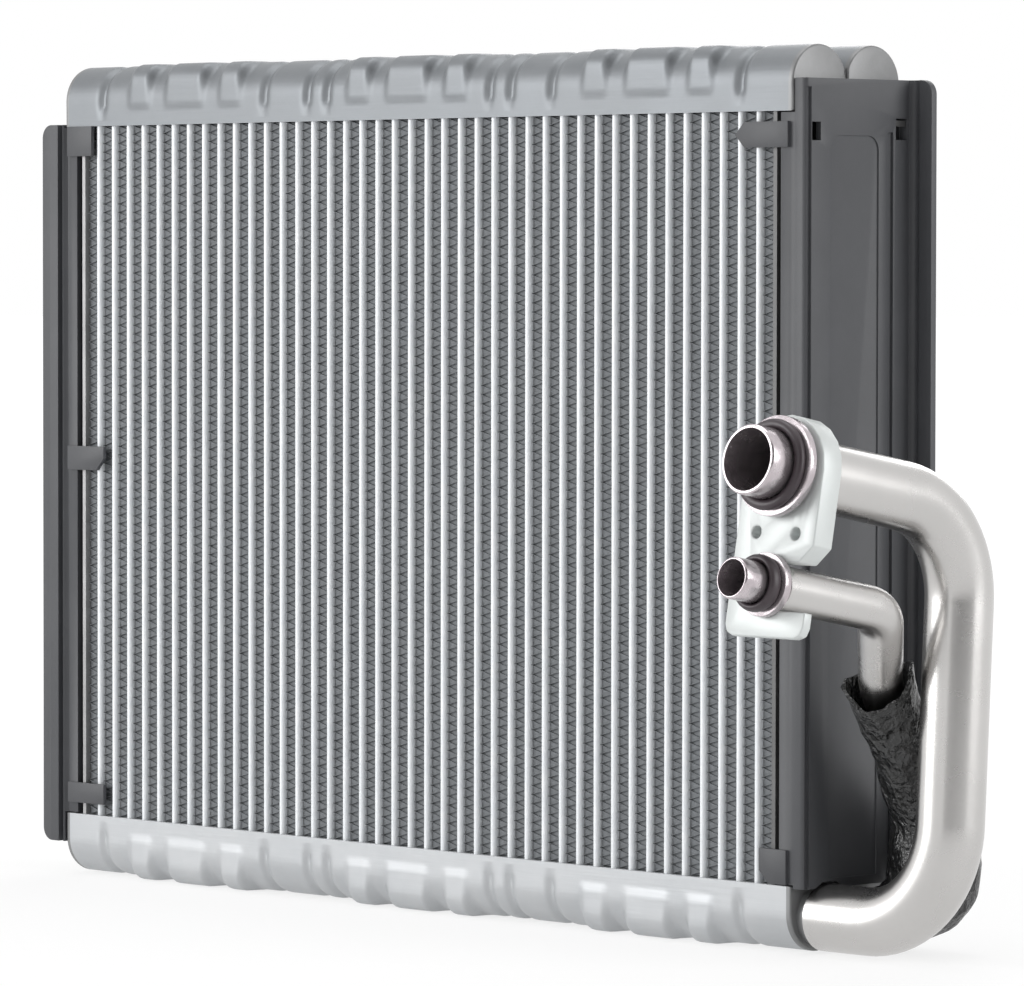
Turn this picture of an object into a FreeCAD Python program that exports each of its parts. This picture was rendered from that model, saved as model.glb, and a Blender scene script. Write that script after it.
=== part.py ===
"""Evaporator core of a vehicle air conditioner: flat tubes and folded fins between two
twin-barrel header tanks, with end covers, suction and liquid pipes and a connector plate.

Millimetres. X runs along the headers, Y from the front to the back, Z up. The origin is under
the middle of the core, on the plane that the pads of the lower header stand on.
"""
import FreeCAD, Part
import math
import os

from FreeCAD import Vector

os.makedirs("parts", exist_ok=True)

# Tubes and fins
tube_count = 41
tube_pitch = 7.0
tube_thickness = 2.0
tube_depth = 40.0
fin_height = 209.5
fin_setback = 1.0
fin_sheet = 0.35
fin_legs = 9
side_plate_sheet = 1.4
side_rib_reach = 1.2
side_rib_width = 16.0

# Header tanks
header_length = 308.3
header_edge = 1.0
header_sheet = 1.6
tank_wall = 1.3
barrel_overlap = 0.2
crown_steps = 6
chamber_steps = 5
barrel_rise = 7.6
cap_sheet = 1.6
pad_lift = 0.2
pad_proud = 0.4
pad_foot = 5.0
pad_foot_slope = 1.2
shoulder_radius = 3.4
module_pitch = 98.3
module_half = 25.0
middle_pad_half = 8.0
outer_pad_width = 8.4
groove_depth = 0.9
middle_grooves = (34.6, 43.2)
inner_groove_offset = 38.3
outer_groove_offset = 35.9
baffle_sheet = 1.5
groove_mouth = 0.54
groove_mouth_half = 2.4
crossover_lift = 1.2
crossover_length = 22.0
crossover_height = 5.0
crossover_count = 3

# Pipes
suction_radius = 9.25
suction_wall = 1.05
suction_bend = 28.0
suction_drop = 8.7
liquid_radius = 6.0
liquid_wall = 1.2
liquid_bends = (14.0, 20.0, 22.0, 15.0)
liquid_reach = 24.0
liquid_rise = 24.0
crank_out = 5.0
crank_forward = 27.0
crank_rise = 63.0
liquid_turn_forward = 46.4
suction_rise_back = 6.0
pipe_sides = 12
liquid_pipe_sides = 8
bend_step = 22.5
port_gap = 3.2
port_insert = 6.0
neck_wall = 1.1
pipe_mouth_bevel = 1.6
pipe_gap = 0.15

# Connector at the free ends of the pipes
connector_x = 201.5
opening_y = -86.3
opening_z = 136.6
connector_tilt = 10.6
port_spacing = 30.8
plate_setback = 14.0
plate_thickness = 7.0
plate_half_width = 14.0
plate_drop = 44.2
plate_corner = 3.0
plate_shoulder = 4.5
tongue_thickness = 3.0
plate_round_steps = 10
screw_hole_radius = 1.65
screw_hole_half_spacing = 7.0
screw_hole_drop = 17.0
spigot_length = 16.5
suction_collar_radius = 13.2
suction_collar_setback = 10.0
liquid_collar_radius = 8.4
liquid_collar_setback = 11.6
liquid_spigot_radius = 5.5
collar_width = 2.2
ring_gap = 0.12
ring_seat_depth = 0.25
suction_ring_half = (1.35, 1.45)
liquid_ring_half = (1.9, 1.1)
spigot_sides = 14
ring_steps = 12

# Foam-backed tape around the lower part of the liquid pipe
wrap_run_girth = 8.4
wrap_leg_girth = 11.6
wrap_mouth_girth = 10.0
wrap_rings = (2.5, 2.2)
wrap_gap = 0.3
wrap_mouth_rise = 56.0
wrap_end = 8.5

# End covers
cover_wall = 1.8
lip_sheet = 1.5
lip_proud = 0.5
cover_round = 1.6
cover_foot = 0.6
cover_overlap = 8.8
cover_gap = 0.35
lip_gap = 1.9
header_gap = 0.4
pipe_notch_gap = 0.9
right_cover_reach = 11.25
left_cover_reach = 9.4
right_flange_width = 8.4
left_flange_width = 7.2
flange_sheet = 2.0
flange_step = 1.5
flange_groove = 2.0
flange_groove_depth = 1.1
flange_corner = 4.0

# Details of the right cover's outer face
pocket_front = 9.5
pocket_width = 19.0
pocket_depth = 0.5
pocket_top_gap = 15.3
pocket_corner = 4.0
panel_groove_width = 1.3
panel_groove_place = 33.0
pocket_foot = 2.5
panel_groove_top_gap = 14.3
front_window = (1.9, 3.4, 11.8, 5.0)
rear_window = (34.8, 4.6, 10.5, 5.8)
tab_width = 3.8
tab_sheet = 1.6
tab_gap = 0.5

# Clips of the covers, from the lip in over the front of the core
clip_sheet = 1.2
clip_point = 3.5
upper_clip_reach = 16.4
upper_clip_top = 11.6
upper_clip_width = 7.0
lower_clip_reach = 6.6
lower_clip_height = 9.8
left_low_clip = (8.0, 0.6, 9.0)
left_middle_clip = (13.6, 7.6, 7.2)
left_high_clip = (13.4, 9.6, 6.1)

# Places that follow from the sizes above
header_depth = tube_depth + 2 * header_edge
barrel_radius = (header_depth / 2 + barrel_overlap) / 2
core_bottom = barrel_radius + barrel_rise + pad_lift
core_top = core_bottom + fin_height
core_middle = (core_bottom + core_top) / 2
tank_half = header_length / 2
barrel_y = header_depth / 2 - barrel_radius
fin_gap = tube_pitch - tube_thickness
stack_half = (tube_count - 1) / 2 * tube_pitch + tube_thickness / 2 + fin_gap
tilt = math.radians(connector_tilt)
flat_tolerance = 0.000001
cover_length = fin_height + cover_overlap + cover_foot
X_AXIS = Vector(1, 0, 0)
Y_AXIS = Vector(0, 1, 0)
Z_AXIS = Vector(0, 0, 1)


def block(x0, x1, y0, y1, z0, z1):
    """A plain block between two corners."""
    return Part.makeBox(x1 - x0, y1 - y0, z1 - z0, Vector(x0, y0, z0))


def polygon(points):
    """A flat face with straight edges."""
    return Part.Face(Part.makePolygon(points + [points[0]]))


def one_solid(shape):
    """A boolean's result as one bare solid, with split faces joined again."""
    return shape.removeSplitter().Solids[0]


def save(name, shape):
    """Write one node."""
    shape.exportStep("parts/" + name + ".step")


def flip_over(shape):
    """The same shape upside down about the middle height of the core."""
    return shape.mirror(Vector(0, 0, core_middle), Z_AXIS)


def closed_solid(faces):
    """The solid inside a closed skin of flat faces."""
    solid = Part.Solid(Part.Shell(faces))
    if solid.Volume < 0:
        solid.reverse()
    return solid


def skin(rings):
    """Flat faces between rings of points that follow each other, in two where four points aren't flat."""
    faces = []
    for low, high in zip(rings, rings[1:]):
        for i in range(len(low)):
            a, b, c, d = low[i - 1], low[i], high[i], high[i - 1]
            normal = (b - a).cross(c - a)
            if abs(normal.dot(d - a)) < flat_tolerance * normal.Length:
                faces.append(polygon([a, b, c, d]))
            else:
                faces += [polygon([a, b, c]), polygon([a, c, d])]
    return faces


def regular_ring(centre, across, upward, radius, sides):
    """Corners of a regular polygon round a point, in the plane of two unit vectors."""
    turns = [2 * math.pi * (i + 0.5) / sides for i in range(sides)]
    return [centre + across * (radius * math.cos(a)) + upward * (radius * math.sin(a)) for a in turns]


def crown_points(x, side, radius, first, last, steps):
    """Points over one barrel, from its outer wall at the first angle to the last, in degrees."""
    axis_z = core_top + barrel_rise
    turns = [math.radians(first + (last - first) * i / max(steps, 1)) for i in range(steps + 1)]
    return [Vector(x, side * (barrel_y + radius * math.cos(a)), axis_z + radius * math.sin(a)) for a in turns]


def valley_turn():
    """The angle over a barrel at which it meets the other one."""
    return 180 - math.degrees(math.acos(barrel_y / barrel_radius))


def barrel_section(foot, x):
    """Outline of a twin barrel: two crowns over a box, in the plane X = x."""
    half = header_depth / 2
    rear = crown_points(x, 1, barrel_radius, 0, valley_turn(), crown_steps)
    front = crown_points(x, -1, barrel_radius, 0, valley_turn(), crown_steps)
    return polygon([Vector(x, -half, core_top + foot), Vector(x, half, core_top + foot)] + rear + front[-2::-1])


def chamber_section(side, x):
    """Outline of the hollow in one barrel: an arch over straight walls."""
    radius = barrel_radius - tank_wall
    foot = core_top + header_sheet
    y = side * barrel_y
    low = [Vector(x, y - side * radius, foot), Vector(x, y + side * radius, foot)]
    return polygon(low + crown_points(x, side, radius, 0, 180, chamber_steps))


def pad(x0, x1, side):
    """A square-shouldered pad that stands in front of one barrel and a little over its crown."""
    face_y = barrel_y + barrel_radius + pad_proud
    top = core_top + barrel_rise + barrel_radius + pad_lift
    foot = core_top + pad_foot
    bend = shoulder_radius * math.sqrt(0.5)
    centre_y = face_y - shoulder_radius
    centre_z = top - shoulder_radius
    start = Vector(x0, side * face_y, centre_z)
    middle = Vector(x0, side * (centre_y + bend), centre_z + bend)
    end = Vector(x0, side * centre_y, top)
    inside_y = barrel_y + barrel_radius - tank_wall / 2
    points = [end, Vector(x0, side * barrel_y, top), Vector(x0, side * barrel_y, top - pad_lift - tank_wall / 2)]
    points += [Vector(x0, side * inside_y, core_top + barrel_rise), Vector(x0, side * inside_y, foot)]
    points += [Vector(x0, side * face_y, foot + pad_foot_slope), start, middle]
    return polygon(points).extrude(Vector(x1 - x0, 0, 0))


def groove(x, side):
    """A V-shaped ring cut that runs over one barrel, from its outer wall to the valley."""
    span = valley_turn() / crown_steps
    rings = []
    for i in range(crown_steps + 1):
        turn = span * i
        mouth, = crown_points(x, side, barrel_radius + groove_mouth, turn, turn, 0)
        bottom, = crown_points(x, side, barrel_radius - groove_depth, turn, turn, 0)
        rings.append([mouth - X_AXIS * groove_mouth_half, mouth + X_AXIS * groove_mouth_half, bottom])
    return closed_solid(skin(rings) + [polygon(rings[0]), polygon(rings[-1])])


def groove_places():
    """Where the ring grooves lie along a tank."""
    places = [side * x for side in (-1, 1) for x in middle_grooves]
    places += [-module_pitch + outer_groove_offset, module_pitch - inner_groove_offset]
    places += [-module_pitch - inner_groove_offset, module_pitch + outer_groove_offset]
    return places


def tank():
    """The upper tank, one stamped twin barrel with three padded modules and its middle wall."""
    half = tank_half - cap_sheet
    length = Vector(2 * half, 0, 0)
    shape = barrel_section(header_sheet, -half).extrude(length)
    pads = []
    for module in (-1, 0, 1):
        middle = module * module_pitch
        spans = [(middle - middle_pad_half, middle + middle_pad_half)]
        spans.append((middle - module_half, middle - module_half + outer_pad_width))
        spans.append((middle + module_half - outer_pad_width, middle + module_half))
        pads += [pad(x0, x1, side) for x0, x1 in spans for side in (-1, 1)]
    cuts = [groove(x, side) for x in groove_places() for side in (-1, 1)]
    cuts += [chamber_section(side, -half).extrude(length) for side in (-1, 1)]
    return one_solid(shape.fuse(pads).cut(cuts))


def tube_section(z):
    """Outline of a flat tube with pointed noses, in the plane Z = z."""
    half = tube_depth / 2
    side = tube_thickness / 2
    right = [(side, half - side), (0, half), (-side, half - side)]
    left = [(-x, -y) for x, y in right]
    return [Vector(x, y, z) for x, y in right + left]


def tube_places():
    """The middle of each tube along X."""
    return [(i - (tube_count - 1) / 2) * tube_pitch for i in range(tube_count)]


def header_plate():
    """The upper header plate with a slot for each tube."""
    half = tank_half - cap_sheet
    depth = header_depth / 2
    outline = [Vector(-half, -depth, core_top), Vector(half, -depth, core_top)]
    outline += [Vector(half, depth, core_top), Vector(-half, depth, core_top)]
    wires = [Part.makePolygon(outline + [outline[0]])]
    for x in tube_places():
        points = [p + Vector(x, 0, 0) for p in tube_section(core_top)]
        wires.append(Part.makePolygon(points + [points[0]]))
    face = Part.Face(wires[0]).cut(Part.makeCompound([Part.Face(w) for w in wires[1:]]))
    return one_solid(face.extrude(Vector(0, 0, header_sheet)))


def tubes():
    """All flat tubes, from the inner face of one header plate to that of the other."""
    low = core_bottom - header_sheet
    length = Vector(0, 0, fin_height + 2 * header_sheet)
    points = tube_section(low)
    first = polygon(points).extrude(length)
    return Part.makeCompound([first.translated(Vector(x, 0, 0)) for x in tube_places()])


def fin_strip():
    """One folded fin strip, centred on X = 0: a zigzag sheet that touches the tube on each side."""
    depth = tube_depth / 2 - fin_setback
    leg = fin_height / fin_legs
    width = fin_sheet * math.hypot(leg, fin_gap) / leg
    swing = (fin_gap - width) / 2
    left = []
    for i in range(fin_legs + 1):
        fold = swing if i % 2 else -swing
        left.append(Vector(fold - width / 2, -depth, core_bottom + i * leg))
    right = [p + Vector(width, 0, 0) for p in reversed(left)]
    return polygon(left + right).extrude(Vector(0, 2 * depth, 0))


def fins():
    """A fin strip in each gap between tubes and at both ends of the stack."""
    strip = fin_strip()
    first = -tube_count / 2 * tube_pitch
    places = [first + i * tube_pitch for i in range(tube_count + 1)]
    return Part.makeCompound([strip.translated(Vector(x, 0, 0)) for x in places])


def side_plate():
    """The right side plate, pressed with one long rib."""
    inner = stack_half
    outer = inner + side_plate_sheet
    depth = tube_depth / 2
    rib = side_rib_width / 2
    slope = side_rib_reach
    profile = [(inner, -depth), (outer, -depth), (outer, -rib - slope), (outer + side_rib_reach, -rib)]
    profile += [(outer + side_rib_reach, rib), (outer, rib + slope), (outer, depth), (inner, depth)]
    profile += [(inner, rib + slope), (inner + side_rib_reach, rib), (inner + side_rib_reach, -rib)]
    profile += [(inner, -rib - slope)]
    face = polygon([Vector(x, y, core_bottom) for x, y in profile])
    return face.extrude(Vector(0, 0, fin_height))


def tabbed_side_plate():
    """The right side plate with the bent tab that holds its cover."""
    y0, z0 = window_corner(rear_window)
    middle_y = y0 + rear_window[1] / 2
    top = z0 + rear_window[3] - tab_gap
    tab = block(stack_half, cover_outer(right_cover_reach) - tab_gap,
                middle_y - tab_width / 2, middle_y + tab_width / 2, top - tab_sheet, top)
    return one_solid(side_plate().fuse(tab))


def end_cap():
    """The upper right end cap, a flat plate with the outline of the tank and header plate."""
    return barrel_section(0, tank_half - cap_sheet).extrude(Vector(cap_sheet, 0, 0))


def port_cap():
    """The lower right end cap, with a neck for each pipe."""
    cap = flip_over(end_cap())
    inner = tank_half - cap_sheet / 2
    end = tank_half + port_gap + port_insert
    necks = []
    bores = []
    for y, z, outer, wall, sides in port_rows():
        neck_ring = regular_ring(Vector(inner, y, z), Y_AXIS, Z_AXIS, outer, sides)
        bore_ring = regular_ring(Vector(inner - cap_sheet, y, z), Y_AXIS, Z_AXIS, outer - wall, sides)
        necks.append(polygon(neck_ring).extrude(Vector(end - inner, 0, 0)))
        bores.append(polygon(bore_ring).extrude(Vector(end - inner + 2 * cap_sheet, 0, 0)))
    return one_solid(cap.fuse(necks).cut(bores))


def port_rows():
    """Each port of the lower right end: its Y, its Z, its neck's outer radius, wall and sides."""
    suction = (-barrel_y, core_bottom - suction_drop, suction_radius - suction_wall, neck_wall, pipe_sides)
    liquid = (barrel_y, core_bottom - barrel_rise, liquid_radius - liquid_wall, neck_wall, liquid_pipe_sides)
    return [suction, liquid]


def baffle(side):
    """A baffle across one chamber of the lower tank."""
    face = chamber_section(side, -baffle_sheet / 2)
    return flip_over(face.extrude(Vector(baffle_sheet, 0, 0)))


def lower_tank():
    """The lower tank: the upper one turned over, with openings in the left half of its middle wall."""
    shape = flip_over(tank())
    wall_half = barrel_y - (barrel_radius - tank_wall)
    space = tank_half / (crossover_count + 1)
    low = core_bottom - header_sheet - crossover_lift - crossover_height
    cuts = []
    for i in range(crossover_count):
        x = -space * (i + 1)
        cuts.append(block(x - crossover_length / 2, x + crossover_length / 2,
                          -wall_half - crossover_lift, wall_half + crossover_lift, low, low + crossover_height))
    return one_solid(shape.cut(cuts))


def along(spigot_z):
    """A point on the axis of the suction spigot, spigot_z in front of its opening."""
    return Vector(connector_x, opening_y - spigot_z * math.cos(tilt), opening_z + spigot_z * math.sin(tilt))


def liquid_along(spigot_z):
    """A point on the axis of the liquid spigot, spigot_z in front of its opening."""
    drop = Vector(0, -port_spacing * math.sin(tilt), -port_spacing * math.cos(tilt))
    return along(spigot_z) + drop


def frames_along(points, bends):
    """Centre, two cross directions and length so far at each ring of a tube through the points."""
    across = Y_AXIS
    upward = Z_AXIS
    place = points[0]
    travelled = 0.0
    frames = [(place, across, upward, travelled)]
    for before, corner, after, bend in zip(points, points[1:], points[2:], bends):
        back = (corner - before).normalize()
        front = (after - corner).normalize()
        angle = back.getAngle(front)
        start = corner - back * (bend * math.tan(angle / 2))
        travelled += (start - place).Length
        if (start - place).Length > pipe_gap:
            frames.append((start, across, upward, travelled))
        axis = back.cross(front).normalize()
        centre = start + axis.cross(back) * bend
        count = math.ceil(math.degrees(angle) / bend_step)
        turn = FreeCAD.Rotation(axis, math.degrees(angle) / count)
        for _ in range(count):
            across = turn.multVec(across)
            upward = turn.multVec(upward)
            start = centre + turn.multVec(start - centre)
            travelled += angle * bend / count
            frames.append((start, across, upward, travelled))
        place = start
    frames.append((points[-1], across, upward, travelled + (points[-1] - place).Length))
    return frames


def faceted_tube(frames, outer, inner, sides):
    """A tube with flat sides, from its outer radius at each frame and its bore's radius."""
    outside = [regular_ring(f[0], f[1], f[2], r, sides) for f, r in zip(frames, outer)]
    inside = [regular_ring(f[0], f[1], f[2], inner, sides) for f in frames]
    return closed_solid(skin(outside + inside[::-1] + outside[:1]))


def suction_route():
    """Corners of the suction pipe from the lower header to its spigot."""
    port = Vector(tank_half + port_gap, -barrel_y, core_bottom - suction_drop)
    turn = Vector(connector_x, -barrel_y, core_bottom - suction_drop)
    back = (along(-1) - along(0)).normalize()
    rise_y = suction_rise_back - barrel_y
    reach = (rise_y - opening_y) / back.y
    return [port, turn, along(0) + back * reach, along(-spigot_length)]


def liquid_route():
    """Corners of the liquid pipe from the lower header to its spigot."""
    axis_z = core_bottom - barrel_rise
    away = tank_half + liquid_reach
    port = Vector(tank_half + port_gap, barrel_y, axis_z)
    turn = Vector(away, barrel_y, axis_z)
    lift = Vector(away, barrel_y, axis_z + liquid_rise)
    crank = Vector(away + crank_out, barrel_y - crank_forward, axis_z + crank_rise)
    back = (liquid_along(-1) - liquid_along(0)).normalize()
    reach = (barrel_y - liquid_turn_forward - liquid_along(0).y) / back.y
    return [port, turn, lift, crank, liquid_along(0) + back * reach, liquid_along(-spigot_length)]


def pipe(route, bends, radius, wall, sides):
    """A bent pipe with a bevelled mouth where it meets the header."""
    frames = frames_along(route, bends)
    bevel = min(pipe_mouth_bevel, wall * 0.9)
    start, across, upward, _ = frames[0]
    frames.insert(1, (start + X_AXIS * bevel, across, upward, bevel))
    outer = [radius - bevel] + [radius] * (len(frames) - 1)
    return faceted_tube(frames, outer, radius - wall, sides)


def wrap_girth(travelled, whole):
    """The tape's radius: slim along the run, loose round the leg and narrower at the mouth."""
    share = travelled / whole
    leg = 1 - wrap_mouth_rise / (wrap_mouth_rise + liquid_reach) / 2
    if share < leg:
        rise = max(0.0, (share - leg / wrap_rings[0]) / (leg - leg / wrap_rings[0]))
        return wrap_run_girth + (wrap_leg_girth - wrap_run_girth) * rise
    return wrap_leg_girth + (wrap_mouth_girth - wrap_leg_girth) * (share - leg) / (1 - leg)


def pipe_wrap():
    """The tape round the liquid pipe, from its mouth below the crank to short of the header."""
    route = liquid_route()
    lift = route[2]
    crank = route[3]
    share = (wrap_mouth_rise - liquid_rise) / (crank.z - lift.z)
    mouth = lift + (crank - lift) * share
    points = [Vector(tank_half + wrap_end, barrel_y, route[1].z), route[1], lift, mouth]
    frames = frames_along(points, liquid_bends)
    whole = frames[-1][3]
    outer = [wrap_girth(f[3], whole) for f in frames]
    return faceted_tube(frames, outer, (liquid_radius + wrap_gap) / math.cos(math.pi / liquid_pipe_sides),
                        liquid_pipe_sides)


def spigot(at_opening, radius, bore, collar_radius, collar_setback, ring_half):
    """A turned spigot with a collar and the seat of its sealing ring, its opening at the given point."""
    seat = radius - ring_seat_depth
    seat_start = collar_setback - 2 * (ring_half[0] + ring_gap)
    collar_end = collar_setback + collar_width
    profile = [(seat, seat_start), (seat, collar_setback), (collar_radius, collar_setback)]
    profile += [(collar_radius, collar_end), (radius, collar_end), (radius, spigot_length)]
    profile += [(bore, spigot_length), (bore, seat_start), (seat, seat_start)]
    rings = [regular_ring(Vector(0, 0, -s), X_AXIS, Y_AXIS, r, spigot_sides) for r, s in profile]
    hollow = polygon(regular_ring(Vector(0, 0, -seat_start - 1), X_AXIS, Y_AXIS, bore, spigot_sides))
    nose = Part.makeCylinder(radius, seat_start, Vector(0, 0, -seat_start))
    nose = nose.cut(hollow.extrude(Vector(0, 0, seat_start + 2)))
    return placed(one_solid(nose.fuse(closed_solid(skin(rings)))), at_opening)


def seal_ring(at_opening, radius, half, collar_setback):
    """A sealing ring in front of the collar, with an oval section of eight sides."""
    axial, radial = half
    stretch = 1 / math.cos(math.pi / ring_steps)
    r = radius - ring_seat_depth + ring_gap + radial
    z = -(collar_setback - ring_gap - axial)
    turns = [math.radians(22.5 + 45 * i) for i in range(8)]
    flat = math.cos(math.radians(22.5))
    profile = [((r + radial * math.cos(a)) * stretch, z + axial * math.sin(a) / flat) for a in turns]
    rings = []
    for i in range(ring_steps + 1):
        turn = 2 * math.pi * i / ring_steps
        rings.append([Vector(p * math.cos(turn), p * math.sin(turn), height) for p, height in profile])
    return placed(closed_solid(skin(rings)), at_opening)


def placed(shape, at_opening):
    """Turn a shape from its own frame, where +Z looks out of the spigot, to the tilted connector."""
    shape.Placement = FreeCAD.Placement(at_opening, FreeCAD.Rotation(X_AXIS, 90 - connector_tilt))
    return shape


def arc_on_plate(y, radius, first, last, steps, z):
    """Points on an arc in the plate's plane, by degrees from +X."""
    turns = [math.radians(first + (last - first) * i / steps) for i in range(steps + 1)]
    return [Vector(radius * math.cos(a), y + radius * math.sin(a), z) for a in turns]


def connector_plate():
    """The clamp plate: a round top round the suction spigot, two screw holes and an open slot."""
    z0 = -plate_setback - plate_thickness
    wide = plate_half_width
    slot_radius = (liquid_radius + pipe_gap) / math.cos(math.pi / plate_round_steps)
    cut = plate_corner * (1 - math.sqrt(0.5))
    slot = arc_on_plate(-port_spacing, slot_radius, 90, 270, plate_round_steps // 2, z0)
    points = arc_on_plate(0, wide, 0, 180, plate_round_steps, z0)
    points += [Vector(-wide, plate_corner - plate_drop, z0), Vector(cut - wide, cut - plate_drop, z0)]
    points += [Vector(plate_corner - wide, -plate_drop, z0), Vector(wide - plate_corner, -plate_drop, z0)]
    points += [Vector(wide - cut, cut - plate_drop, z0), Vector(wide, plate_corner - plate_drop, z0)]
    points += [Vector(wide, -port_spacing - slot_radius, z0)] + slot[::-1]
    points += [Vector(wide - plate_shoulder, slot_radius - port_spacing, z0)]
    points += [Vector(wide, slot_radius - port_spacing + plate_shoulder, z0)]
    body = polygon(points).extrude(Vector(0, 0, plate_thickness))
    hole_radius = (suction_radius + pipe_gap) / math.cos(math.pi / ring_steps)
    hole = regular_ring(Vector(0, 0, z0 - 1), X_AXIS, Y_AXIS, hole_radius, ring_steps)
    cuts = [polygon(hole).extrude(Vector(0, 0, plate_thickness + 2))]
    cuts.append(block(-wide - 1, wide + 1, -plate_drop - 1, -port_spacing - slot_radius,
                      z0 - 1, z0 + plate_thickness - tongue_thickness))
    for side in (-1, 1):
        place = Vector(side * screw_hole_half_spacing, -screw_hole_drop, z0 - 1)
        cuts.append(Part.makeCylinder(screw_hole_radius, plate_thickness + 2, place))
    return placed(one_solid(body.cut(cuts)), along(0))


def cover_outer(reach):
    """The outer plane of a cover that reaches this far past the side plate."""
    return stack_half + side_plate_sheet + reach


def cover_top():
    """The upper end of the right cover, beside the upper header."""
    return core_top + cover_overlap


def window_corner(window):
    """Y and Z of the lower front corner of a window in the right cover."""
    return window[0] - tube_depth / 2, cover_top() - window[2] - window[3]


def cover_channel(reach, flange_width):
    """A cover channel on the right, with a flange that turns out from its rear edge."""
    outer = cover_outer(reach)
    inner = outer - cover_wall
    lip = stack_half + side_plate_sheet + lip_gap
    face = tube_depth / 2 + lip_proud
    back = face + flange_step
    front = back - flange_sheet
    tip = outer + flange_width
    bend = cover_round * (1 - math.sqrt(0.5))
    low = cover_top() - cover_length
    points = [Vector(outer, -face + cover_round, low), Vector(outer, front, low), Vector(tip, front, low)]
    points += [Vector(tip, back, low), Vector(inner, back, low), Vector(inner - flange_step, face, low)]
    points += [Vector(lip, face, low), Vector(lip, face - lip_sheet, low), Vector(inner, face - lip_sheet, low)]
    points += [Vector(inner, lip_sheet - face, low), Vector(lip, lip_sheet - face, low)]
    points += [Vector(lip, -face, low), Vector(outer - cover_round, -face, low)]
    edges = [Part.LineSegment(a, b).toShape() for a, b in zip(points, points[1:])]
    corner = Part.Arc(points[-1], Vector(outer - bend, -face + bend, low), points[0])
    shape = Part.Face(Part.Wire(edges + [corner.toShape()])).extrude(Vector(0, 0, cover_length))
    corners = [e for e in shape.Edges if abs(e.CenterOfMass.x - tip) < 0.01 and abs(e.CenterOfMass.z - low) < 0.01]
    corners += [e for e in shape.Edges if abs(e.CenterOfMass.x - tip) < 0.01
                and abs(e.CenterOfMass.z - low - cover_length) < 0.01]
    return shape.makeFillet(flange_corner, corners)


def header_room(top, bottom):
    """Room for the header ends in the lips of a right cover, at its upper and lower end."""
    lip = stack_half + side_plate_sheet + lip_gap
    room = tank_half + header_gap
    depth = header_depth / 2 + cover_gap
    upper = block(lip - 1, room, -depth, depth, core_top - cover_gap, core_top + top)
    lower = block(lip - 1, room, -depth, depth, core_bottom - bottom, core_bottom + cover_gap)
    return [upper, lower]


def clip(x_lip, x_tip, z0, z1, cut_side):
    """A flat clip on the front of a right cover, with its free end cut off at one or both corners."""
    front = -(tube_depth / 2 + cover_gap + clip_sheet)
    root = x_lip + clip_point
    points = [(root, z0), (root, z1)]
    points += [(x_tip + clip_point, z1), (x_tip, z1 - clip_point)] if "top" in cut_side else [(x_tip, z1)]
    points += [(x_tip, z0 + clip_point), (x_tip + clip_point, z0)] if "low" in cut_side else [(x_tip, z0)]
    face = polygon([Vector(x, front, z) for x, z in points])
    return face.extrude(Vector(0, clip_sheet, 0))


def right_cover():
    """The right end cover with its panel details and clips."""
    outer = cover_outer(right_cover_reach)
    top = cover_top()
    low = top - cover_length
    lip = stack_half + side_plate_sheet + lip_gap
    shape = cover_channel(right_cover_reach, right_flange_width)
    clip_top = top - upper_clip_top
    clips = [clip(lip, lip - upper_clip_reach, clip_top - upper_clip_width, clip_top, "top low")]
    clips.append(clip(lip, lip - lower_clip_reach, core_bottom + cover_gap, core_bottom + lower_clip_height, "low"))
    clips += [c.mirror(Vector(0, 0, 0), Y_AXIS) for c in clips]
    shape = shape.fuse(clips)
    y0 = pocket_front - tube_depth / 2 - lip_proud
    pocket = block(outer - pocket_depth, outer + 1, y0, y0 + pocket_width, low + pocket_foot, top - pocket_top_gap)
    corners = [e for e in pocket.Edges if abs(e.CenterOfMass.z - top + pocket_top_gap) < 0.01
               and abs(e.CenterOfMass.x - outer - (1 - pocket_depth) / 2) < 0.01]
    pocket = pocket.makeFillet(pocket_corner, corners)
    line_y = panel_groove_place - tube_depth / 2
    line = block(outer - pocket_depth, outer + 1, line_y - panel_groove_width / 2,
                 line_y + panel_groove_width / 2, low - 1, top - panel_groove_top_gap)
    windows = []
    for window in (front_window, rear_window):
        y, z = window_corner(window)
        windows.append(block(outer - cover_wall - 1, outer + 1, y, y + window[1], z, z + window[3]))
    groove_y = tube_depth / 2 + lip_proud + flange_step - flange_sheet
    groove_cut = flange_root_groove(outer, groove_y, low, -1)
    _, z, _, _, _ = port_rows()[0]
    notch = regular_ring(Vector(outer - cover_wall - 1, -barrel_y, z), Y_AXIS, Z_AXIS,
                         suction_radius + pipe_notch_gap, pipe_sides)
    notch_cut = polygon(notch).extrude(Vector(cover_wall + 2, 0, 0))
    cuts = [pocket, line, groove_cut, notch_cut] + windows + header_room(cover_overlap + 1, 1)
    return one_solid(shape.cut(cuts))


def flange_root_groove(outer, y, low, side):
    """A round groove along the root of a flange, on the face at Y = y that looks to the given side."""
    centre = Vector(outer + flange_groove, y + side * (flange_groove - flange_groove_depth), low - 1)
    return Part.makeCylinder(flange_groove, cover_length + 2, centre, Z_AXIS)


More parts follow.
